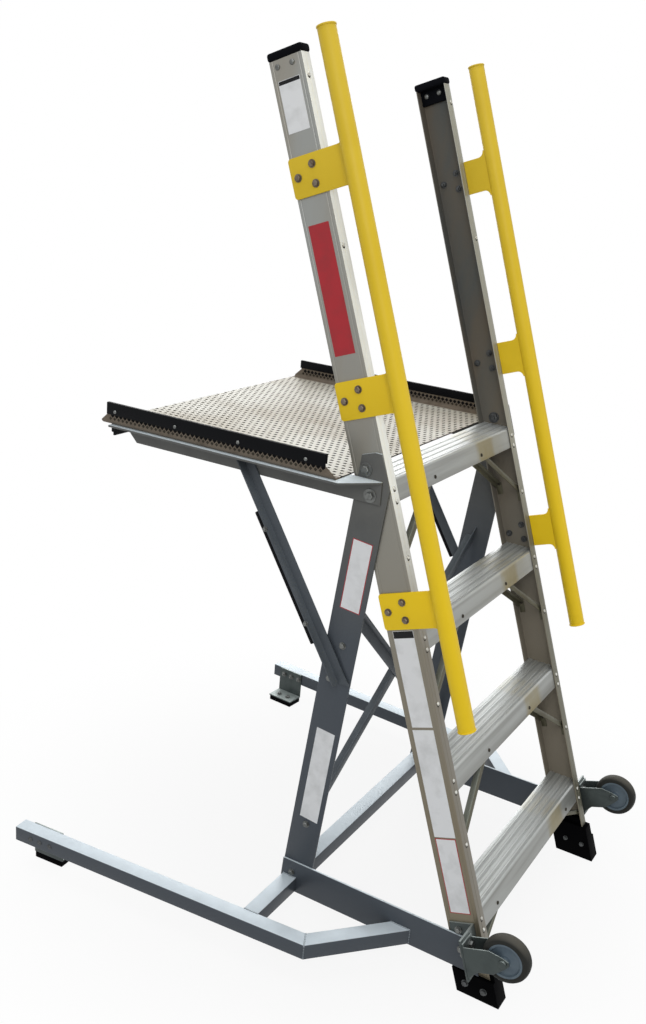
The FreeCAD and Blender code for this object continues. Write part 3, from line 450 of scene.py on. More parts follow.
def finish_mesh(name, bm, materials, body="frame", stands_for=(), sharp=32, turned=False):
    """Turn a bmesh into a piece: normals outward, smooth with sharp edges kept, riding its body."""
    if turned:
        bmesh.ops.remove_doubles(bm, verts=bm.verts, dist=0.00001)
        bmesh.ops.recalc_face_normals(bm, faces=bm.faces)
    mesh = bpy.data.meshes.new(name)
    bm.to_mesh(mesh)
    bm.free()
    mesh.shade_smooth()
    mesh.set_sharp_from_angle(angle=math.radians(sharp))
    for material in materials:
        mesh.materials.append(bpy.data.materials[material])
    piece = bpy.data.objects.new(name, mesh)
    bpy.context.collection.objects.link(piece)
    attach(piece, body)
    if stands_for:
        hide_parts(*stands_for)


def node_bmesh(node):
    """Merged copy of a CAD node's mesh, with its flat faces joined up."""
    bm = bmesh.new()
    bm.from_mesh(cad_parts[node].data)
    bmesh.ops.remove_doubles(bm, verts=bm.verts, dist=0.000002)
    bmesh.ops.dissolve_limit(bm, angle_limit=math.radians(0.5), verts=bm.verts, edges=bm.edges)
    return bm


def round_off(bm, wanted, radius, segments=2):
    """Round the edges that a test picks out."""
    edges = [edge for edge in bm.edges if edge.is_manifold and wanted(edge)]
    bmesh.ops.bevel(bm, geom=edges, offset=radius, offset_type="OFFSET", segments=segments, profile=0.5,
                    affect="EDGES", material=-1, clamp_overlap=True)


def is_corner(edge):
    """Any edge that is clearly folded or cut."""
    return edge.calc_face_angle(0) > math.radians(25)


def is_outer_run(edge):
    """A long convex edge, such as the corner of a square tube."""
    return edge.is_convex and edge.calc_length() > 0.025 and edge.calc_face_angle(0) > math.radians(60)


def is_rail_corner(edge):
    """A square corner that runs the length of a rail."""
    return edge.calc_length() > 1 and edge.calc_face_angle(0) > 1.4


def dress(node, material, radius, segments=2, wanted=is_corner):
    """A CAD node's shape with rounded edges and a finish, standing for that node."""
    bm = node_bmesh(node)
    round_off(bm, wanted, radius, segments)
    finish_mesh(f"{node}_dressed", bm, (material,), "frame", (node,))


def extruded(bm, place, section, axis, span):
    """Push a closed section of (u, v) pairs along X or Z of a frame, between two distances."""
    start, end = span
    order = {"X": lambda u, v, w: (w, u, v), "Z": lambda u, v, w: (u, v, w)}[axis]
    face = bm.faces.new([bm.verts.new(place @ Vector(order(u, v, start))) for u, v in section])
    pushed = bmesh.ops.extrude_face_region(bm, geom=[face])["geom"]
    moved = [item for item in pushed if isinstance(item, bmesh.types.BMVert)]
    bmesh.ops.translate(bm, verts=moved, vec=place.to_3x3() @ Vector(order(0, 0, end - start)))


def rounded_block(bm, place, low, high, radius, segments=2):
    """Box between two corners of a frame, with rounded edges."""
    middle = (Vector(low) + Vector(high)) / 2
    size = Vector(high) - Vector(low)
    matrix = place @ Matrix.Translation(middle) @ Matrix.Diagonal((*size, 1))
    made = bmesh.ops.create_cube(bm, size=1.0, matrix=matrix)["verts"]
    if radius:
        edges = list({edge for vert in made for edge in vert.link_edges})
        bmesh.ops.bevel(bm, geom=edges, offset=radius * MM, offset_type="OFFSET", segments=segments,
                        profile=0.5, affect="EDGES", material=-1, clamp_overlap=True)


def aimed(place, point, axis):
    """Frame at a point of another frame, with its Z along an axis of that frame."""
    turn = Vector((0, 0, 1)).rotation_difference(Vector(axis)).to_matrix().to_4x4()
    return place @ Matrix.Translation(point) @ turn


def disc(bm, place, radius, low, high, segments, top=None):
    """Round or many-sided disc along Z of a frame, tapered where its top has its own radius."""
    bmesh.ops.create_cone(bm, cap_ends=True, segments=segments, radius1=radius,
                          radius2=radius if top is None else top, depth=high - low,
                          matrix=place @ Matrix.Translation((0, 0, (low + high) / 2)))


def add_rivet(bm, place, point, axis, radius):
    """Low dome with its edge just in the sheet."""
    seat = aimed(place, point, axis)
    bmesh.ops.create_uvsphere(bm, u_segments=14, v_segments=8, radius=radius,
                              matrix=seat @ Matrix.Diagonal((1, 1, 0.62, 1)))


def add_bolt(bm, place, point, axis, radius, nut=False):
    """Washer and hexagon head; a nut also shows the end of its bolt."""
    seat = aimed(place, point, axis)
    washer, head, top = 1.5, 5.6, 6.6
    disc(bm, seat, radius * 1.3, -0.3, washer, 24)
    disc(bm, seat, radius, washer, head, 6)
    disc(bm, seat, radius * 0.98, head, top, 6, radius * 0.78)
    if nut:
        disc(bm, seat, radius * 0.5, 6.0, 10.0, 14, radius * 0.42)


def add_bead(bm, place, start, end, radius, pitch=3.0):
    """Weld bead: a row of low overlapping lumps."""
    start, end = Vector(start), Vector(end)
    count = max(2, round((end - start).length / pitch))
    for number in range(count + 1):
        swell = 1 + 0.12 * math.sin(number * 2.4)
        bmesh.ops.create_icosphere(bm, subdivisions=1, radius=radius * swell,
                                   matrix=place @ Matrix.Translation(start.lerp(end, number / count)))


def spun(bm, place, section, segments=64):
    """Turn a section of (distance along X, radius) pairs about the X axis of a frame."""
    corners = [bm.verts.new(place @ Vector((along, 0, radius))) for along, radius in section]
    edges = [bm.edges.new(pair) for pair in zip(corners, corners[1:] + corners[:1])]
    axis = (place.to_3x3() @ Vector((1, 0, 0))).normalized()
    bmesh.ops.spin(bm, geom=corners + edges, cent=place.to_translation(), axis=axis, dvec=(0, 0, 0),
                   angle=math.tau, steps=segments, use_merge=True, use_duplicate=False)
    bmesh.ops.recalc_face_normals(bm, faces=bm.faces)


def mirrored_points(points, sign):
    """Places given for the right side, for either side."""
    return [(sign * across, *rest) for across, *rest in points]


# ---------------------------------------------------------------- pieces

class PLATFORM_OT_rails(bpy.types.Operator):
    """Channel rails with grooved webs, rounded corners and moulded caps"""
    bl_idname = "platform.rails"
    bl_label = "Rails"

    groove = ((0, 0), (0.8, 0.6), (2.2, 0.6), (3, 0))  # along the face, and into it
    flange_groove = RAIL_HALF - 14
    web_groove = 7

    def section(self):
        """Outline of the right channel as (across, back from its front face) pairs."""
        inner, wall = RAIL_HALF - RAIL_FLANGE, RAIL_HALF - RAIL_WALL
        front = [(inner, 0)]
        front += [(self.flange_groove + along, deep) for along, deep in self.groove]
        front += [(RAIL_HALF, 0)]
        front += [(RAIL_HALF - deep, self.web_groove + along) for along, deep in self.groove]
        rear = [(across, RAIL_DEPTH - back) for across, back in reversed(front)]
        hollow = [(inner, RAIL_WALL), (wall, RAIL_WALL)]
        hollow += [(across, RAIL_DEPTH - back) for across, back in reversed(hollow)]
        return [*front, *rear, *reversed(hollow)]

    def paint_faces(self, bm, sign):
        """Finish of each face: the web's outside, the hollow inside in painted shade, and the front flange
        with the painted light and shade of its side.
        """
        place = RAIL.inverted()
        squarely = 0.7
        for face in bm.faces:
            centre = place @ face.calc_center_median()
            normal = (place.to_3x3() @ face.normal).normalized()
            inward = RAIL_DEPTH / 2 - centre.y
            between = abs(inward) < RAIL_DEPTH / 2 - 1
            web = RAIL_HALF - sign * centre.x > 1 and normal.x * sign < -squarely
            flange = normal.y * inward > 0 and abs(normal.y) > squarely
            if between and (web or flange):
                face.material_index = 1
            elif normal.y < -squarely and centre.y < 2:
                face.material_index = 2

    def cap(self, name, sign):
        """Moulded cap: a head that stands proud of the rail all round, and a skirt inside the web."""
        proud, height, skirt, thick, overlap = 2.5, 17, 35, 9, 2
        inner, wall, top = RAIL_HALF - RAIL_FLANGE, RAIL_HALF - RAIL_WALL, RAIL_SPAN[1]
        bm = bmesh.new()
        near, far = sorted((sign * (inner - proud), sign * (RAIL_HALF + proud)))
        rounded_block(bm, RAIL, (near, -proud, top), (far, RAIL_DEPTH + proud, top + height), 5.5, 4)
        near, far = sorted((sign * (wall - thick), sign * wall))
        rounded_block(bm, RAIL, (near, RAIL_WALL, top - skirt), (far, RAIL_DEPTH - RAIL_WALL, top + overlap),
                      1.2)
        finish_mesh(f"{name}_cap_moulding", bm, ("cap_moulding",), "frame",
                    (f"{name}_rail_cap",))

    def execute(self, context):
        for name, sign in SIDES:
            bm = bmesh.new()
            extruded(bm, RAIL, mirrored_points(self.section(), sign), "Z", RAIL_SPAN)
            bmesh.ops.recalc_face_normals(bm, faces=bm.faces)
            round_off(bm, is_rail_corner, 1.3 * MM, 3)
            self.paint_faces(bm, sign)
            # The left rail's front faces take the lit copy and the right's the shaded copy, both painted
            # light and shade.
            front = "rail_front_lit" if sign < 0 else "rail_front_shaded"
            finish_mesh(f"{name}_rail_channel", bm, ("rail_metal", "rail_hollow_shade", front),
                        "frame", (f"{name}_rail",))
            self.cap(name, sign)
        return {"FINISHED"}


class PLATFORM_OT_boots(bpy.types.Operator):
    """Moulded ladder feet with grooved soles"""
    bl_idname = "platform.boots"
    bl_label = "Ladder feet"

    def execute(self, context):
        for name, _ in SIDES:
            dress(f"{name}_ladder_foot", "boot_rubber", 1.8 * MM, 3)
        return {"FINISHED"}


class PLATFORM_OT_steps(bpy.types.Operator):
    """Ribbed treads with folded skirts, and their angle braces"""
    bl_idname = "platform.steps"
    bl_label = "Steps"

    def section(self, sizes):
        """Tread section as (forward, up) pairs, from the front nose round to the front skirt's foot."""
        slope, skirt, sheet = math.tan(LEAN), 46.0, 3.0
        front, back = RAIL_WALL / math.cos(LEAN), (RAIL_DEPTH - RAIL_WALL) / math.cos(LEAN)
        lap = sheet / math.cos(LEAN)
        depth, worn, scored = sizes.rib_height / MM, 0.2, 0.8
        first, last = front + 5.0, back - 3.0
        pitch = (last - first) / sizes.step_ribs
        points = [(front, 0)]
        for number in range(sizes.step_ribs):
            low = first + number * pitch
            points += [(low, 0), (low + 0.9, -depth), (low + 6.1, -depth), (low + 7.0, -worn)]
            points += [(low + 10.4, -worn), (low + 10.8, -scored), (low + 11.2, -worn)]
        points += [(back, 0), (back - skirt * slope, -skirt), (back - skirt * slope - lap, -skirt)]
        points += [(back - sheet * slope - lap, -sheet), (front - sheet * slope + lap, -sheet)]
        points += [(front - skirt * slope + lap, -skirt), (front - skirt * slope, -skirt)]
        return points

    def execute(self, context):
        section = self.section(context.scene.platform_sizes)
        nose, tail = section[0], max(section)
        highest, lowest = -1.0, -2.5  # levels of the valleys' floors
        for number, top in enumerate(STEP_TOPS, 1):
            place = UPRIGHT @ Matrix.Translation((0, top * math.tan(LEAN), top))
            bm = bmesh.new()
            extruded(bm, place, section, "X", (-STEP_HALF, STEP_HALF))
            bmesh.ops.recalc_face_normals(bm, faces=bm.faces)
            for corner, radius in ((nose, 4.5), (tail, 2.2)):
                line = place @ Vector((0, *corner))
                round_off(bm, lambda edge: edge.calc_length() > 0.5 and all(
                    (vert.co - line).yz.length < 0.0002 for vert in edge.verts), radius * MM, 4)
            own = place.inverted()
            for face in bm.faces:
                if face.normal.z > 0.9 and lowest < (own @ face.calc_center_median()).z < highest:
                    face.material_index = 1
            finish_mesh(f"step_{number}_tread", bm, ("step_metal", "step_valley"), "frame",
                        (f"step_{number}",), sharp=38)
            dress(f"step_{number}_gussets", "gusset_shade", 0.5 * MM)
        return {"FINISHED"}


class PLATFORM_OT_handrails(bpy.types.Operator):
    """Round handrails with lipped plugs, and the plates that carry them"""
    bl_idname = "platform.handrails"
    bl_label = "Handrails"

    # weld cove between a plate's outer face and the handrail, as (across, back from the rail) pairs
    cove = ((347.6, -38), (348.6, -43), (350.6, -47.5), (354, -51.2), (359, -53.2), (362, -58), (352, -60),
            (347.6, -56))
    cove_half = 40
    plate_half = 40.5
    plate_faces = (343.3, 347.9)
    flare = 14
    flare_start, flare_end = -40, -57.5

    def joints(self, name, sign):
        """Coves along the plates, and the flares with which their edges run into the handrail."""
        bm = bmesh.new()
        faces = tuple(sorted(sign * across for across in self.plate_faces))
        for height in PLATE_HEIGHTS:
            span = (height - self.cove_half, height + self.cove_half)
            extruded(bm, RAIL, mirrored_points(self.cove, sign), "Z", span)
            for turn in (-1, 1):
                edge, reach = height + turn * self.plate_half, turn * self.flare
                fillet = [(self.flare_end, edge - turn), (self.flare_start, edge - turn)]
                fillet += [(self.flare_start - self.flare * math.sin(angle),
                            edge + reach - reach * math.cos(angle)) for angle in QUARTER_TURN]
                fillet += [(self.flare_end, edge + reach)]
                extruded(bm, RAIL, fillet, "X", faces)
        finish_mesh(f"{name}_handrail_welds", bm, ("handrail_coat",), sharp=60, turned=True)

    def execute(self, context):
        for name, sign in SIDES:
            for node, radius, segments in (
                ("handrail", 0.4, 2), ("handrail_plugs", 1.2, 3), ("handrail_plates", 0.7, 2),
            ):
                dress(f"{name}_{node}", "handrail_coat", radius * MM, segments)
            self.joints(name, sign)
        return {"FINISHED"}


class PLATFORM_OT_steelwork(bpy.types.Operator):
    """Legs, deck frame, braces, base beams and square tubes of the steel frame"""
    bl_idname = "platform.steelwork"
    bl_label = "Steelwork"

    bead_radius = 2.2
    # start and end of each bead on the right side
    beads = (
        ((505, 407.4, 99.6), (538, 391, 99.6)), ((540.2, 390, 97), (540.2, 390, 65)),
        ((353.4, 222, 99.6), (353.4, 270, 99.6)), ((353.4, 221, 97), (353.4, 221, 65)),
        ((353.4, 533, 99.6), (353.4, 567, 99.6)), ((514.6, 533, 99.6), (516.4, 567, 99.6)),
    )

    def execute(self, context):
        sizes = context.scene.platform_sizes
        for name, _ in SIDES:
            for node, finish in (
                ("rear_leg", "steel_paint"), ("side_angle", "steel_paint"),
                ("platform_brace", "steel_shaded"), ("base_beam", "steel_paint"),
            ):
                dress(f"{name}_{node}", finish, sizes.edge_round)
            for node in ("outrigger_tube", "outrigger_link", "outrigger_stub"):
                dress(f"{name}_{node}", "steel_paint", sizes.tube_round, 4, is_outer_run)
        for node, finish in (
            ("front_cross_angle", "steel_dark"), ("cross_brace_a", "steel_shaded"),
            ("cross_brace_b", "steel_shaded"),
        ):
            dress(node, finish, sizes.edge_round)
        dress("rear_cross_tube", "steel_paint", sizes.tube_round, 4, is_outer_run)
        self.welds()
        return {"FINISHED"}

    def welds(self):
        """Beads at the outriggers' mitres, and where links and stubs meet beams and tubes."""
        bm = bmesh.new()
        for _, sign in SIDES:
            for ends in self.beads:
                add_bead(bm, UPRIGHT, *mirrored_points(ends, sign), self.bead_radius)
        finish_mesh("outrigger_welds", bm, ("steel_paint",), sharp=80)


class PLATFORM_OT_edging(bpy.types.Operator):
    """Toe strips along the deck, the front bumper and the bumpers on the braces"""
    bl_idname = "platform.edging"
    bl_label = "Edging and bumpers"

    def execute(self, context):
        for name, _ in SIDES:
            dress(f"{name}_toe_strip", "rubber_edging", 1.3 * MM, 3)
            dress(f"{name}_brace_bumper", "rubber_edging", 2.5 * MM, 3)
        dress("front_bumper", "rubber_edging", 2.0 * MM, 3)
        return {"FINISHED"}


class PLATFORM_OT_deck(bpy.types.Operator):
    """Deck of sheet with rows of sunk slots, folded up at both sides"""
    bl_idname = "platform.deck"
    bl_label = "Deck"

    border = 20  # least plain strip between the slots and a folded side
    sheet = 3
    bend = 10
    crest = 46
    corner_cuts = ((DECK_SPAN[0], 22), (DECK_SPAN[1], -17))  # where, and run for each rise
    cut_rise, cut_level = 16, 8
    mark_count, first_mark, mark_pitch = 48, 28, 12.06
    mark_rows = (
        # piece, finish, shift along the fold, height over the sheet's underside, radius
        ("deck_punched_marks", "black_mark", 0, 22, 5.6),
        ("deck_faint_marks", "soil_and_shadow_ring", 6.03, 14.6, 4.4),
    )

    def tile(self, bm, sizes, place):
        """One pitch of the sheet: two columns of sunk slots, the second half a pitch further on."""
        run, pitch = sizes.slot_pitch / MM, sizes.deck_pitch / MM
        half, reach = sizes.slot_width / MM / 2, sizes.slot_length / MM
        start = (pitch / 2 - reach) / 2
        across = (0, run / 2 - half, run / 2 + half, 1.5 * run - half, 1.5 * run + half, 2 * run)
        along = (0, start, start + reach, pitch / 2 + start, pitch / 2 + start + reach, pitch)
        slots, narrow, short, sunk = (1, 3), 0.5, 0.6, -1.8

        def patch(corners, mark=0):
            face = bm.faces.new([bm.verts.new(place @ Vector(corner)) for corner in corners])
            face.material_index = mark

        for column, (left, right) in enumerate(zip(across, across[1:])):
            for row, (near, far) in enumerate(zip(along, along[1:])):
                around = ((left, near), (right, near), (right, far), (left, far))
                patch([(*corner, -self.sheet) for corner in reversed(around)])
                if column != row or column not in slots:
                    patch([(*corner, 0) for corner in around])
                    continue
                floor = [(x + (narrow if x == left else -narrow), y + (short if y == near else -short), sunk)
                         for x, y in around]
                # Slot floors and walls take the dark slot finish, painted shade.
                patch(floor, 1)
                for number, (x, y) in enumerate(around):
                    following = (number + 1) % 4
                    patch(((x, y, 0), (*around[following], 0), floor[following], floor[number]), 1)
        bmesh.ops.remove_doubles(bm, verts=bm.verts, dist=0.00001)

    def execute(self, context):
        sizes = context.scene.platform_sizes
        run, pitch = 2 * sizes.slot_pitch, sizes.deck_pitch
        columns = int(2 * (DECK_HALF - self.border) * MM / run)
        rows = round((DECK_SPAN[1] - DECK_SPAN[0]) * MM / pitch)
        half = columns * run / MM / 2
        bm = bmesh.new()
        self.tile(bm, sizes, UPRIGHT @ Matrix.Translation((-half, DECK_SPAN[0], DECK_TOP)))
        for count, step in ((columns, Vector((run, 0, 0))), (rows, Vector((0, pitch, 0)))):
            unit = bm.verts[:] + bm.edges[:] + bm.faces[:]
            for number in range(1, count):
                copied = bmesh.ops.duplicate(bm, geom=unit)["geom"]
                verts = [item for item in copied if isinstance(item, bmesh.types.BMVert)]
                bmesh.ops.translate(bm, verts=verts, vec=step * number)
            bmesh.ops.remove_doubles(bm, verts=bm.verts, dist=0.00001)
        # The sheet's cut edges take the dark slot finish too, painted shade.
        rims = [edge for edge in bm.edges if edge.is_boundary]
        for face in bmesh.ops.bridge_loops(bm, edges=rims)["faces"]:
            face.material_index = 1
        finish_mesh("deck_sheet", bm, ("deck_coat", "deck_slot_shade"), "frame", ("platform_deck",),
                    sharp=30, turned=True)
        self.sides(half)
        self.marks()
        return {"FINISHED"}

    def sides(self, inner):
        """Folded sides of the deck, with their corners cut off at both ends."""
        base, centre, inside = DECK_TOP - self.sheet, DECK_HALF - self.bend, self.bend - self.sheet
        section = [(inner, base)]
        section += [(centre + self.bend * math.sin(turn), base + self.bend - self.bend * math.cos(turn))
                    for turn in QUARTER_TURN]
        section += [(DECK_HALF, DECK_TOP + self.crest), (DECK_HALF - self.sheet, DECK_TOP + self.crest)]
        section += [(centre + inside * math.sin(turn), base + self.bend - inside * math.cos(turn))
                    for turn in reversed(QUARTER_TURN)]
        section += [(inner, DECK_TOP)]
        bm = bmesh.new()
        place = UPRIGHT @ Matrix.Rotation(math.pi / 2, 4, "X")
        for _, sign in SIDES:
            extruded(bm, place, mirrored_points(section, sign), "Z", (-DECK_SPAN[1], -DECK_SPAN[0]))
        for end, run in self.corner_cuts:
            slope = Vector((0, -self.cut_rise * run / abs(run), abs(run)))
            bmesh.ops.bisect_plane(
                bm, geom=bm.verts[:] + bm.edges[:] + bm.faces[:], dist=0.0000001, clear_outer=True,
                plane_co=UPRIGHT @ Vector((0, end, base + self.cut_level)), plane_no=slope.normalized())
        bmesh.ops.holes_fill(bm, edges=[edge for edge in bm.edges if edge.is_boundary], sides=0)
        finish_mesh("deck_sides", bm, ("deck_wall",), sharp=30, turned=True)

    def marks(self):
        """Rows of punched diamonds on both faces of each folded side."""
        for title, finish, shift, up, radius in self.mark_rows:
            bm = bmesh.new()
            for _, sign in SIDES:
                for number in range(self.mark_count):
                    forward = DECK_SPAN[0] + self.first_mark + number * self.mark_pitch + shift
                    for across, out in ((DECK_HALF, sign), (DECK_HALF - self.sheet, -sign)):
                        point = (sign * across, forward, DECK_TOP - self.sheet + up)
                        disc(bm, aimed(UPRIGHT, point, (out, 0, 0)), radius, -1, 0.15, 4)
            finish_mesh(title, bm, (finish,))


class PLATFORM_OT_outrigger_feet(bpy.types.Operator):
    """Angle brackets with rubber soles at the ends of the outriggers"""
    bl_idname = "platform.outrigger_feet"
    bl_label = "Outrigger feet"

    def execute(self, context):
        for name, _ in SIDES:
            dress(f"{name}_outrigger_bracket", "zinc_plate", 0.9 * MM)
            dress(f"{name}_outrigger_pad", "boot_rubber", 2.0 * MM, 3)
        return {"FINISHED"}


class PLATFORM_OT_casters(bpy.types.Operator):
    """Brackets, forks, axles and wheels"""
    bl_idname = "platform.casters"
    bl_label = "Casters"

    # half sections as (along the axle, radius) pairs, up to the middle of the wheel
    tyre = ((-15, 40.5), (-15, 45.6), (-14.2, 48.8), (-12.2, 51.6), (-8.5, 53.6), (-3, 54.5))
    hub = ((-19.5, 4.81), (-19.5, 11), (-18.5, 12), (-11.5, 12.6), (-9.5, 15), (-8.5, 24), (-9.5, 33),
           (-12, 35), (-14.5, 35.5), (-14.5, 40.5))

    def execute(self, context):
        for name, sign in SIDES:
            for node, radius in (("caster_bracket", 1.0), ("caster_fork", 0.8), ("caster_axle", 0.5)):
                dress(f"{name}_{node}", "zinc_plate", radius * MM)
            place = RAIL @ Matrix.Translation((sign * WHEEL[0], WHEEL[1], WHEEL[2]))
            for title, half, material, slot in (
                ("tyre", self.tyre, "tyre_rubber", "wheel_tyre"),
                ("hub", self.hub, "hub_moulding", "wheel_hub"),
            ):
                bm = bmesh.new()
                spun(bm, place, (*half, *mirrored_points(reversed(half), -1)))
                finish_mesh(f"{name}_wheel_{title}_turned", bm, (material,), f"{name}_wheel",
                            (f"{name}_wheel_{title}",), sharp=40, turned=True)
        return {"FINISHED"}


def rail_height(height, square):
    """Distance along the rail at which a point that far off its front line is at a height."""
    return (height + square * math.sin(LEAN)) / math.cos(LEAN)


class PLATFORM_OT_fasteners(bpy.types.Operator):
    """Rivets of the ladder and bolts of the frame"""
    bl_idname = "platform.fasteners"
    bl_label = "Fasteners"

    # places on the right side; drops are measured down from a tread's top
    flange_rivet, flange_drops, brace_drop = 327, (16, 41.5), 157
    skirt_rivets, skirt_drop = (234, 130, 130, 130), 32
    web_rivet, web_drop, web_square = STEP_HALF - 2.5, 156, 14
    upper_rivet, upper_heights = 333, (2021.9, 1687.0)
    plate_bolts = ((25, -19.5), (25, 19.5), (63, 0))  # back from the rail's front, up from the plate's middle
    cap_rivets, cap_height = (61.2, 25.9), 2052.3
    pivots = ((LEG_FACE, 452, 1146), (BEAM_FACE, 434, 1094))
    side_bolts = (
        (LEG_FACE, 467, 736), (LEG_FACE, 519, 255), (BEAM_FACE + 3.2, 488, 654), (BEAM_FACE, 545, 112),
        (BEAM_FACE, 95, 110),
    )
    foot_bolts, foot_face = ((74, 28.5), (28.6, 27)), RAIL_HALF + 9.4
    bumper_bolts = ((378.4, 671, 967), (378.4, 548, 776))
    tube_bolts = (762.5, 733.5, 703)  # along the outrigger from its corner
    tube_face, shelf_face, tube_level = 19, -23, 19
    sole_bolts, sole_across, sole_top = (755, 720), -54, 20.5
    toe_rivets, toe_face, toe_height = (1073, 900, 729, 557), 420, 1160
    bracket_bolts = ((LEG_FACE, 52, 180), (LEG_FACE, 52, 120))
    fork_nut = (382.6, 8, 171.5)

    def rivets(self, radius):
        """Bright domes along the rails, each with a dark ring hung below it as a painted shadow, and dark
        domes in painted shade on the skirts and behind in the webs.
        """
        # The second bmesh holds painted shadows: rings hung under the bright rivets, and the dark rivets in
        # shade.
        bright, soiled = bmesh.new(), bmesh.new()
        front_and_back = ((0, -1), (RAIL_DEPTH, 1))

        def ringed(point, out):
            """A bright dome on a flange, with a dark ring hung a little below it as a painted shadow."""
            add_rivet(bright, RAIL, point, (0, out, 0), radius)
            below = (point[0], point[1], point[2] - 2.4)
            disc(soiled, aimed(RAIL, below, (0, out, 0)), radius * 1.15, -0.3, 0.12, 20)

        for number, top in enumerate(STEP_TOPS):
            drops = (*self.flange_drops, self.brace_drop) if number else self.flange_drops
            for _, sign in SIDES:
                for drop in drops:
                    for square, out in front_and_back:
                        ringed((sign * self.flange_rivet, square, rail_height(top - drop, square)), out)
                # The skirts' rivets are dark all over: painted shade.
                for square, out in ((RAIL_WALL, -1), (RAIL_DEPTH - RAIL_WALL, 1)):
                    height = rail_height(top - self.skirt_drop, square)
                    point = (sign * self.skirt_rivets[number], square, height)
                    add_rivet(soiled, RAIL, point, (0, out, 0), radius)
                if number:
                    # The web rivet behind, in the hollow, is dark: painted shade.
                    for square, kind in ((self.web_square, bright), (RAIL_DEPTH - self.web_square, soiled)):
                        point = (sign * self.web_rivet, square, rail_height(top - self.web_drop, square))
                        add_rivet(kind, RAIL, point, (-sign, 0, 0), radius)
        for _, sign in SIDES:
            for height in self.upper_heights:
                ringed((sign * self.upper_rivet, 0, height), -1)
        finish_mesh("ladder_rivets", bright, ("rivet_metal",), sharp=60)
        finish_mesh("ladder_rivet_rings", soiled, ("soil_and_shadow_ring",), sharp=60)

    def ladder_bolts(self, sign, radius, bright, rusty, dark):
        """Bolts of the handrail plates, feet and casters, and the rivets of the caps."""
        out, inward = (sign, 0, 0), (-sign, 0, 0)
        for height in PLATE_HEIGHTS:
            for square, rise in self.plate_bolts:
                add_bolt(rusty, RAIL, (sign * LEG_FACE, square, height + rise), out, radius)
                add_bolt(dark, RAIL, (sign * STEP_HALF, square, height + rise), inward, radius, nut=True)
        for square in self.cap_rivets:
            add_rivet(bright, RAIL, (sign * RAIL_HALF, square, self.cap_height), out, 6)
            add_rivet(bright, RAIL, (sign * (STEP_HALF - 9), square, self.cap_height), inward, 7)
        for forward, up in self.foot_bolts:
            add_bolt(dark, UPRIGHT, (sign * self.foot_face, forward, up), out, radius)
            add_bolt(dark, UPRIGHT, (sign * FOOT_INNER, forward - 4, up + 14), inward, radius * 0.75)
        for across, *rest in self.bracket_bolts:
            add_bolt(bright, RAIL, (sign * across, *rest), out, radius)
        add_bolt(bright, RAIL, (sign * self.fork_nut[0], *self.fork_nut[1:]), (0, -1, 0), 8.5)

    def frame_bolts(self, sign, radius, bright, dark):
        """Bolts of the legs, deck frame and braces, and the rivets of the toe strips."""
        out, inward = (sign, 0, 0), (-sign, 0, 0)
        for across, forward, up in self.pivots:
            disc(bright, aimed(UPRIGHT, (sign * across, forward, up), out), 15, -0.3, 2, 28)
            add_bolt(bright, UPRIGHT, (sign * (across + 1), forward, up), out, radius * 1.45)
            add_bolt(dark, UPRIGHT, (sign * STEP_HALF, forward, up), inward, radius * 1.7, nut=True)
        for point in mirrored_points(self.side_bolts, sign):
            add_bolt(bright, UPRIGHT, point, out, radius)
        for point in mirrored_points(self.bumper_bolts, sign):
            add_bolt(bright, UPRIGHT, point, out, 4.6)
        for forward in self.toe_rivets:
            add_rivet(bright, UPRIGHT, (sign * self.toe_face, forward, self.toe_height), out, 4.4)

    def outrigger_bolts(self, sign, radius, bright, dark):
        """Bolts through the end of an outrigger and down into its sole, in the tube's own frame."""
        out, inward = (sign, 0, 0), (-sign, 0, 0)
        tube = UPRIGHT @ Matrix.Translation((sign * CORNER[0], CORNER[1], CORNER[2])) @ Matrix.Rotation(
            -sign * SPLAY, 4, "Z")
        for along in self.tube_bolts:
            head = (sign * self.tube_face, along, self.tube_level)
            disc(dark, aimed(tube, head, out), radius, -0.3, 0.8, 24)
            add_rivet(dark, tube, head, out, 4.8)
            nut = (sign * self.shelf_face, along, self.tube_level)
            add_bolt(bright, tube, nut, inward, radius, nut=True)
        for along in self.sole_bolts:
            point = (sign * self.sole_across, along, self.sole_top - CORNER[2])
            add_bolt(bright, tube, point, (0, 0, 1), radius)

    def execute(self, context):
        sizes = context.scene.platform_sizes
        radius = sizes.bolt_radius / MM
        self.rivets(sizes.rivet_radius / MM)
        bright, rusty, dark = bmesh.new(), bmesh.new(), bmesh.new()
        for _, sign in SIDES:
            self.ladder_bolts(sign, radius, bright, rusty, dark)
            self.frame_bolts(sign, radius, bright, dark)
            self.outrigger_bolts(sign, radius, bright, dark)
        finish_mesh("frame_bolts", bright, ("bolt_zinc",), sharp=30)
        finish_mesh("dark_bolts", dark, ("bolt_dark",), sharp=30)
        finish_mesh("handrail_plate_bolts", rusty, ("bolt_rusty",), sharp=30)
        return {"FINISHED"}


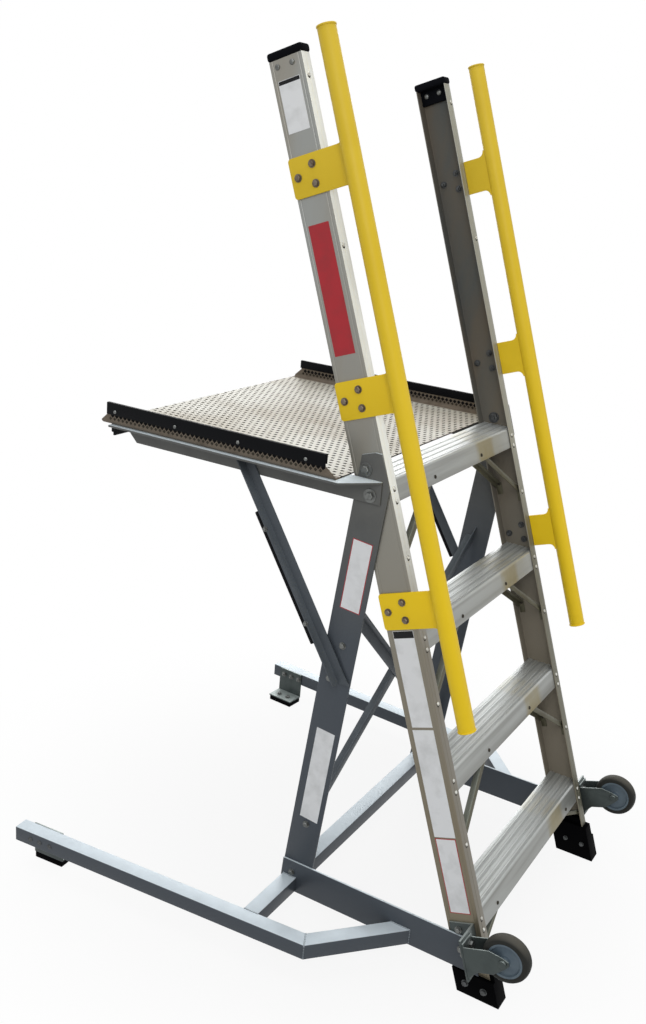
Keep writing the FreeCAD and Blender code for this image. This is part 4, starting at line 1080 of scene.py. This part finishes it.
class PLATFORM_OT_labels(bpy.types.Operator):
    """Blank label fields on the left rail and leg"""
    bl_idname = "platform.labels"
    bl_label = "Labels"

    fields = (
        # name, where, low and high corners in its frame, field, header's share, red frame
        ("header", "rail", (15.5, 1922), (66.7, 2025), "label_field", 0.08, False),
        ("red", "rail", (17.3, 1471), (66.5, 1739), "label_red", 0, False),
        ("notice", "rail", (15.5, 657), (65.5, 876), "label_field", 0.075, False),
        ("plain", "rail", (15, 400), (66.5, 651), "label_field", 0, False),
        ("framed", "rail", (15.5, 217.5), (66, 397), "label_field", 0, True),
        ("leg_framed", "leg", (-27.7, 827), (22, 994), "label_field", 0, True),
        ("leg_plain", "leg", (-28, 271.7), (20, 518), "label_field", 0, False),
    )
    proud, frame_proud, header_proud, sunk = 0.25, 0.3, 0.35, 0.2
    header_margin, frame_width = 0.8, 2.6

    def execute(self, context):
        for title, where, low, high, field, header, framed in self.fields:
            place, face = (RAIL, -RAIL_HALF) if where == "rail" else (LEG, -LEG_FACE)
            back = face + self.sunk
            bm = bmesh.new()
            rounded_block(bm, place, (face - self.proud, *low), (back, *high), 0)
            if header:
                before = set(bm.faces)
                split = high[1] - header * (high[1] - low[1])
                rounded_block(bm, place, (face - self.header_proud, low[0] + self.header_margin, split),
                              (back, high[0] - self.header_margin, high[1] - self.header_margin), 0)
                for item in set(bm.faces) - before:
                    item.material_index = 1
            if framed:
                before = set(bm.faces)
                rounded_block(bm, place, (face - self.frame_proud, *low), (back, *high), 0)
                front = min(set(bm.faces) - before, key=lambda item: item.calc_center_median().x)
                bmesh.ops.inset_region(bm, faces=[front], thickness=self.frame_width * MM)
                for item in set(bm.faces) - before - {front}:
                    item.material_index = 2
            finish_mesh(f"label_{title}", bm, (field, "label_black", "label_red"))
        return {"FINISHED"}


def seen_by(tree, *rays):
    """One for the light paths named, and otherwise nought."""
    path = add_node(tree, "ShaderNodeLightPath")
    seen = path.outputs[rays[0]]
    for ray in rays[1:]:
        seen = maths(tree, "MAXIMUM", seen, path.outputs[ray])
    return seen


class PLATFORM_OT_stage(bpy.types.Operator):
    """Floor, lights, surroundings and camera"""
    bl_idname = "platform.stage"
    bl_label = "Stage"

    lamps = (
        # name, place, target, width, power
        ("key", (-3.4, -1.6, 3.6), (0, 0, 0.9), 2.2, 60),
        ("top", (0.2, 0.6, 4.4), (0, 0, 0.8), 2.6, 50),
        ("back", (4.6, 2.6, 2.1), (0, 0, 0.7), 3.6, 104),
        ("front", (0.6, -4.6, 1.7), (0, 0, 0.9), 2.6, 22),
    )
    surroundings = 0.5
    floor_tone = (0.62, 0.62, 0.62, 1)
    floor_size, floor_level = 60, -0.0005
    pale_ring = {"From Min": 0.3, "From Max": 1.3, "To Min": 0.88}  # the floor whitens between two distances
    camera_place = (-2.2874, -1.12732, 1.7703)
    azimuth, elevation, roll = (math.radians(angle) for angle in (-61.198, 18.299, 5.207))
    sensor, lens, shift = 36, 38.361, (-0.01679, 0.00065)

    def execute(self, context):
        scene = context.scene
        bpy.ops.mesh.primitive_plane_add(size=self.floor_size, location=(0, 0, self.floor_level))
        floor = context.object
        floor.name = "floor"
        floor.data.materials.append(self.floor_finish())
        for values in self.lamps:
            self.lamp(context, *values)
        self.world(scene)
        self.camera(scene)
        scene.view_settings.view_transform = "Standard"
        return {"FINISHED"}

    def world(self, scene):
        """Plain pale light that shows as white behind the platform and in its gloss."""
        world = bpy.data.worlds.new("surroundings")
        scene.world = world
        world.use_nodes = True
        tree = world.node_tree
        back = tree.nodes["Background"]
        back.inputs["Color"].default_value = (1, 1, 1, 1)
        seen = seen_by(tree, "Is Camera Ray", "Is Glossy Ray", "Is Transmission Ray")
        tree.links.new(ranged(tree, seen, To_Min=self.surroundings), back.inputs["Strength"])

    def floor_finish(self):
        """Matt floor that takes shadows, and that the camera and gloss see as nearly white."""
        material = bpy.data.materials.new("pale_floor")
        material.use_nodes = True
        tree = material.node_tree
        shader = tree.nodes["Principled BSDF"]
        shader.inputs["Base Color"].default_value = self.floor_tone
        shader.inputs["Roughness"].default_value = 0.9
        shader.inputs["Specular IOR Level"].default_value = 0.0
        glow = add_node(tree, "ShaderNodeEmission")
        place = add_node(tree, "ShaderNodeTexCoord")
        reach = add_node(tree, "ShaderNodeVectorMath", {0: place.outputs["Object"]}, operation="LENGTH")
        white = add_node(tree, "ShaderNodeMapRange", {"Value": reach.outputs["Value"], **self.pale_ring},
                         interpolation_type="SMOOTHSTEP")
        seen = seen_by(tree, "Is Camera Ray", "Is Glossy Ray")
        share = maths(tree, "MULTIPLY", seen, white.outputs["Result"])
        mix = add_node(tree, "ShaderNodeMixShader", {
            0: share, 1: shader.outputs["BSDF"], 2: glow.outputs["Emission"]})
        tree.links.new(mix.outputs["Shader"], tree.nodes["Material Output"].inputs["Surface"])
        return material

    def lamp(self, context, name, place, target, width, power):
        """Square soft lamp at a place, aimed at a target."""
        data = bpy.data.lights.new(name, "AREA")
        data.shape = "SQUARE"
        data.size = width
        data.energy = power
        lamp = bpy.data.objects.new(name, data)
        lamp.location = place
        lamp.rotation_euler = (Vector(target) - Vector(place)).to_track_quat("-Z", "Y").to_euler()
        context.collection.objects.link(lamp)

    def camera(self, scene):
        """Camera behind the climber's left shoulder, looking down at the platform with a slight roll."""
        level_share = math.cos(self.elevation)
        back = Vector((math.sin(self.azimuth) * level_share, -math.cos(self.azimuth) * level_share,
                       math.sin(self.elevation)))
        right = (-back).cross(Vector((0, 0, 1))).normalized()
        up = right.cross(-back)
        turned = Matrix((right, up, back)).transposed().to_4x4() @ Matrix.Rotation(self.roll, 4, "Z")
        data = bpy.data.cameras.new("camera")
        data.sensor_width = self.sensor
        data.lens = self.lens
        data.shift_x, data.shift_y = self.shift
        camera = bpy.data.objects.new("camera", data)
        camera.matrix_world = Matrix.Translation(self.camera_place) @ turned
        scene.collection.objects.link(camera)
        scene.camera = camera


class PLATFORM_PT_pieces(bpy.types.Panel):
    """Lists the platform's sizes, colours and pieces"""
    bl_idname = "PLATFORM_PT_pieces"
    bl_label = "Maintenance Platform"
    bl_space_type = "VIEW_3D"
    bl_region_type = "UI"
    bl_category = "Platform"

    def draw(self, context):
        column = self.layout.column()
        for group in (context.scene.platform_sizes, context.scene.platform_colours):
            for name in group.bl_rna.properties.keys():
                if name not in ("rna_type", "name"):
                    column.prop(group, name)
        for operator in OPERATORS:
            column.operator(operator.bl_idname)


OPERATORS = (
    PLATFORM_OT_rails, PLATFORM_OT_boots, PLATFORM_OT_steps, PLATFORM_OT_handrails, PLATFORM_OT_steelwork,
    PLATFORM_OT_edging, PLATFORM_OT_deck, PLATFORM_OT_outrigger_feet, PLATFORM_OT_casters,
    PLATFORM_OT_fasteners, PLATFORM_OT_labels, PLATFORM_OT_stage,
)
CLASSES = (PlatformSizes, PlatformColours, *OPERATORS, PLATFORM_PT_pieces)


def register():
    for item in CLASSES:
        bpy.utils.register_class(item)
    bpy.types.Scene.platform_sizes = PointerProperty(type=PlatformSizes)
    bpy.types.Scene.platform_colours = PointerProperty(type=PlatformColours)


def unregister():
    del bpy.types.Scene.platform_colours
    del bpy.types.Scene.platform_sizes
    for item in reversed(CLASSES):
        bpy.utils.unregister_class(item)


def main():
    register()
    for build_group in (build_stain_group, build_grain_group, build_dust_and_sheen_group, build_height_group,
                        build_band_group):
        build_group()
    build_materials(bpy.context.scene.platform_colours)
    for operator in OPERATORS:
        getattr(bpy.ops.platform, operator.bl_idname.partition(".")[2])()


if __name__ == "__main__":
    main()
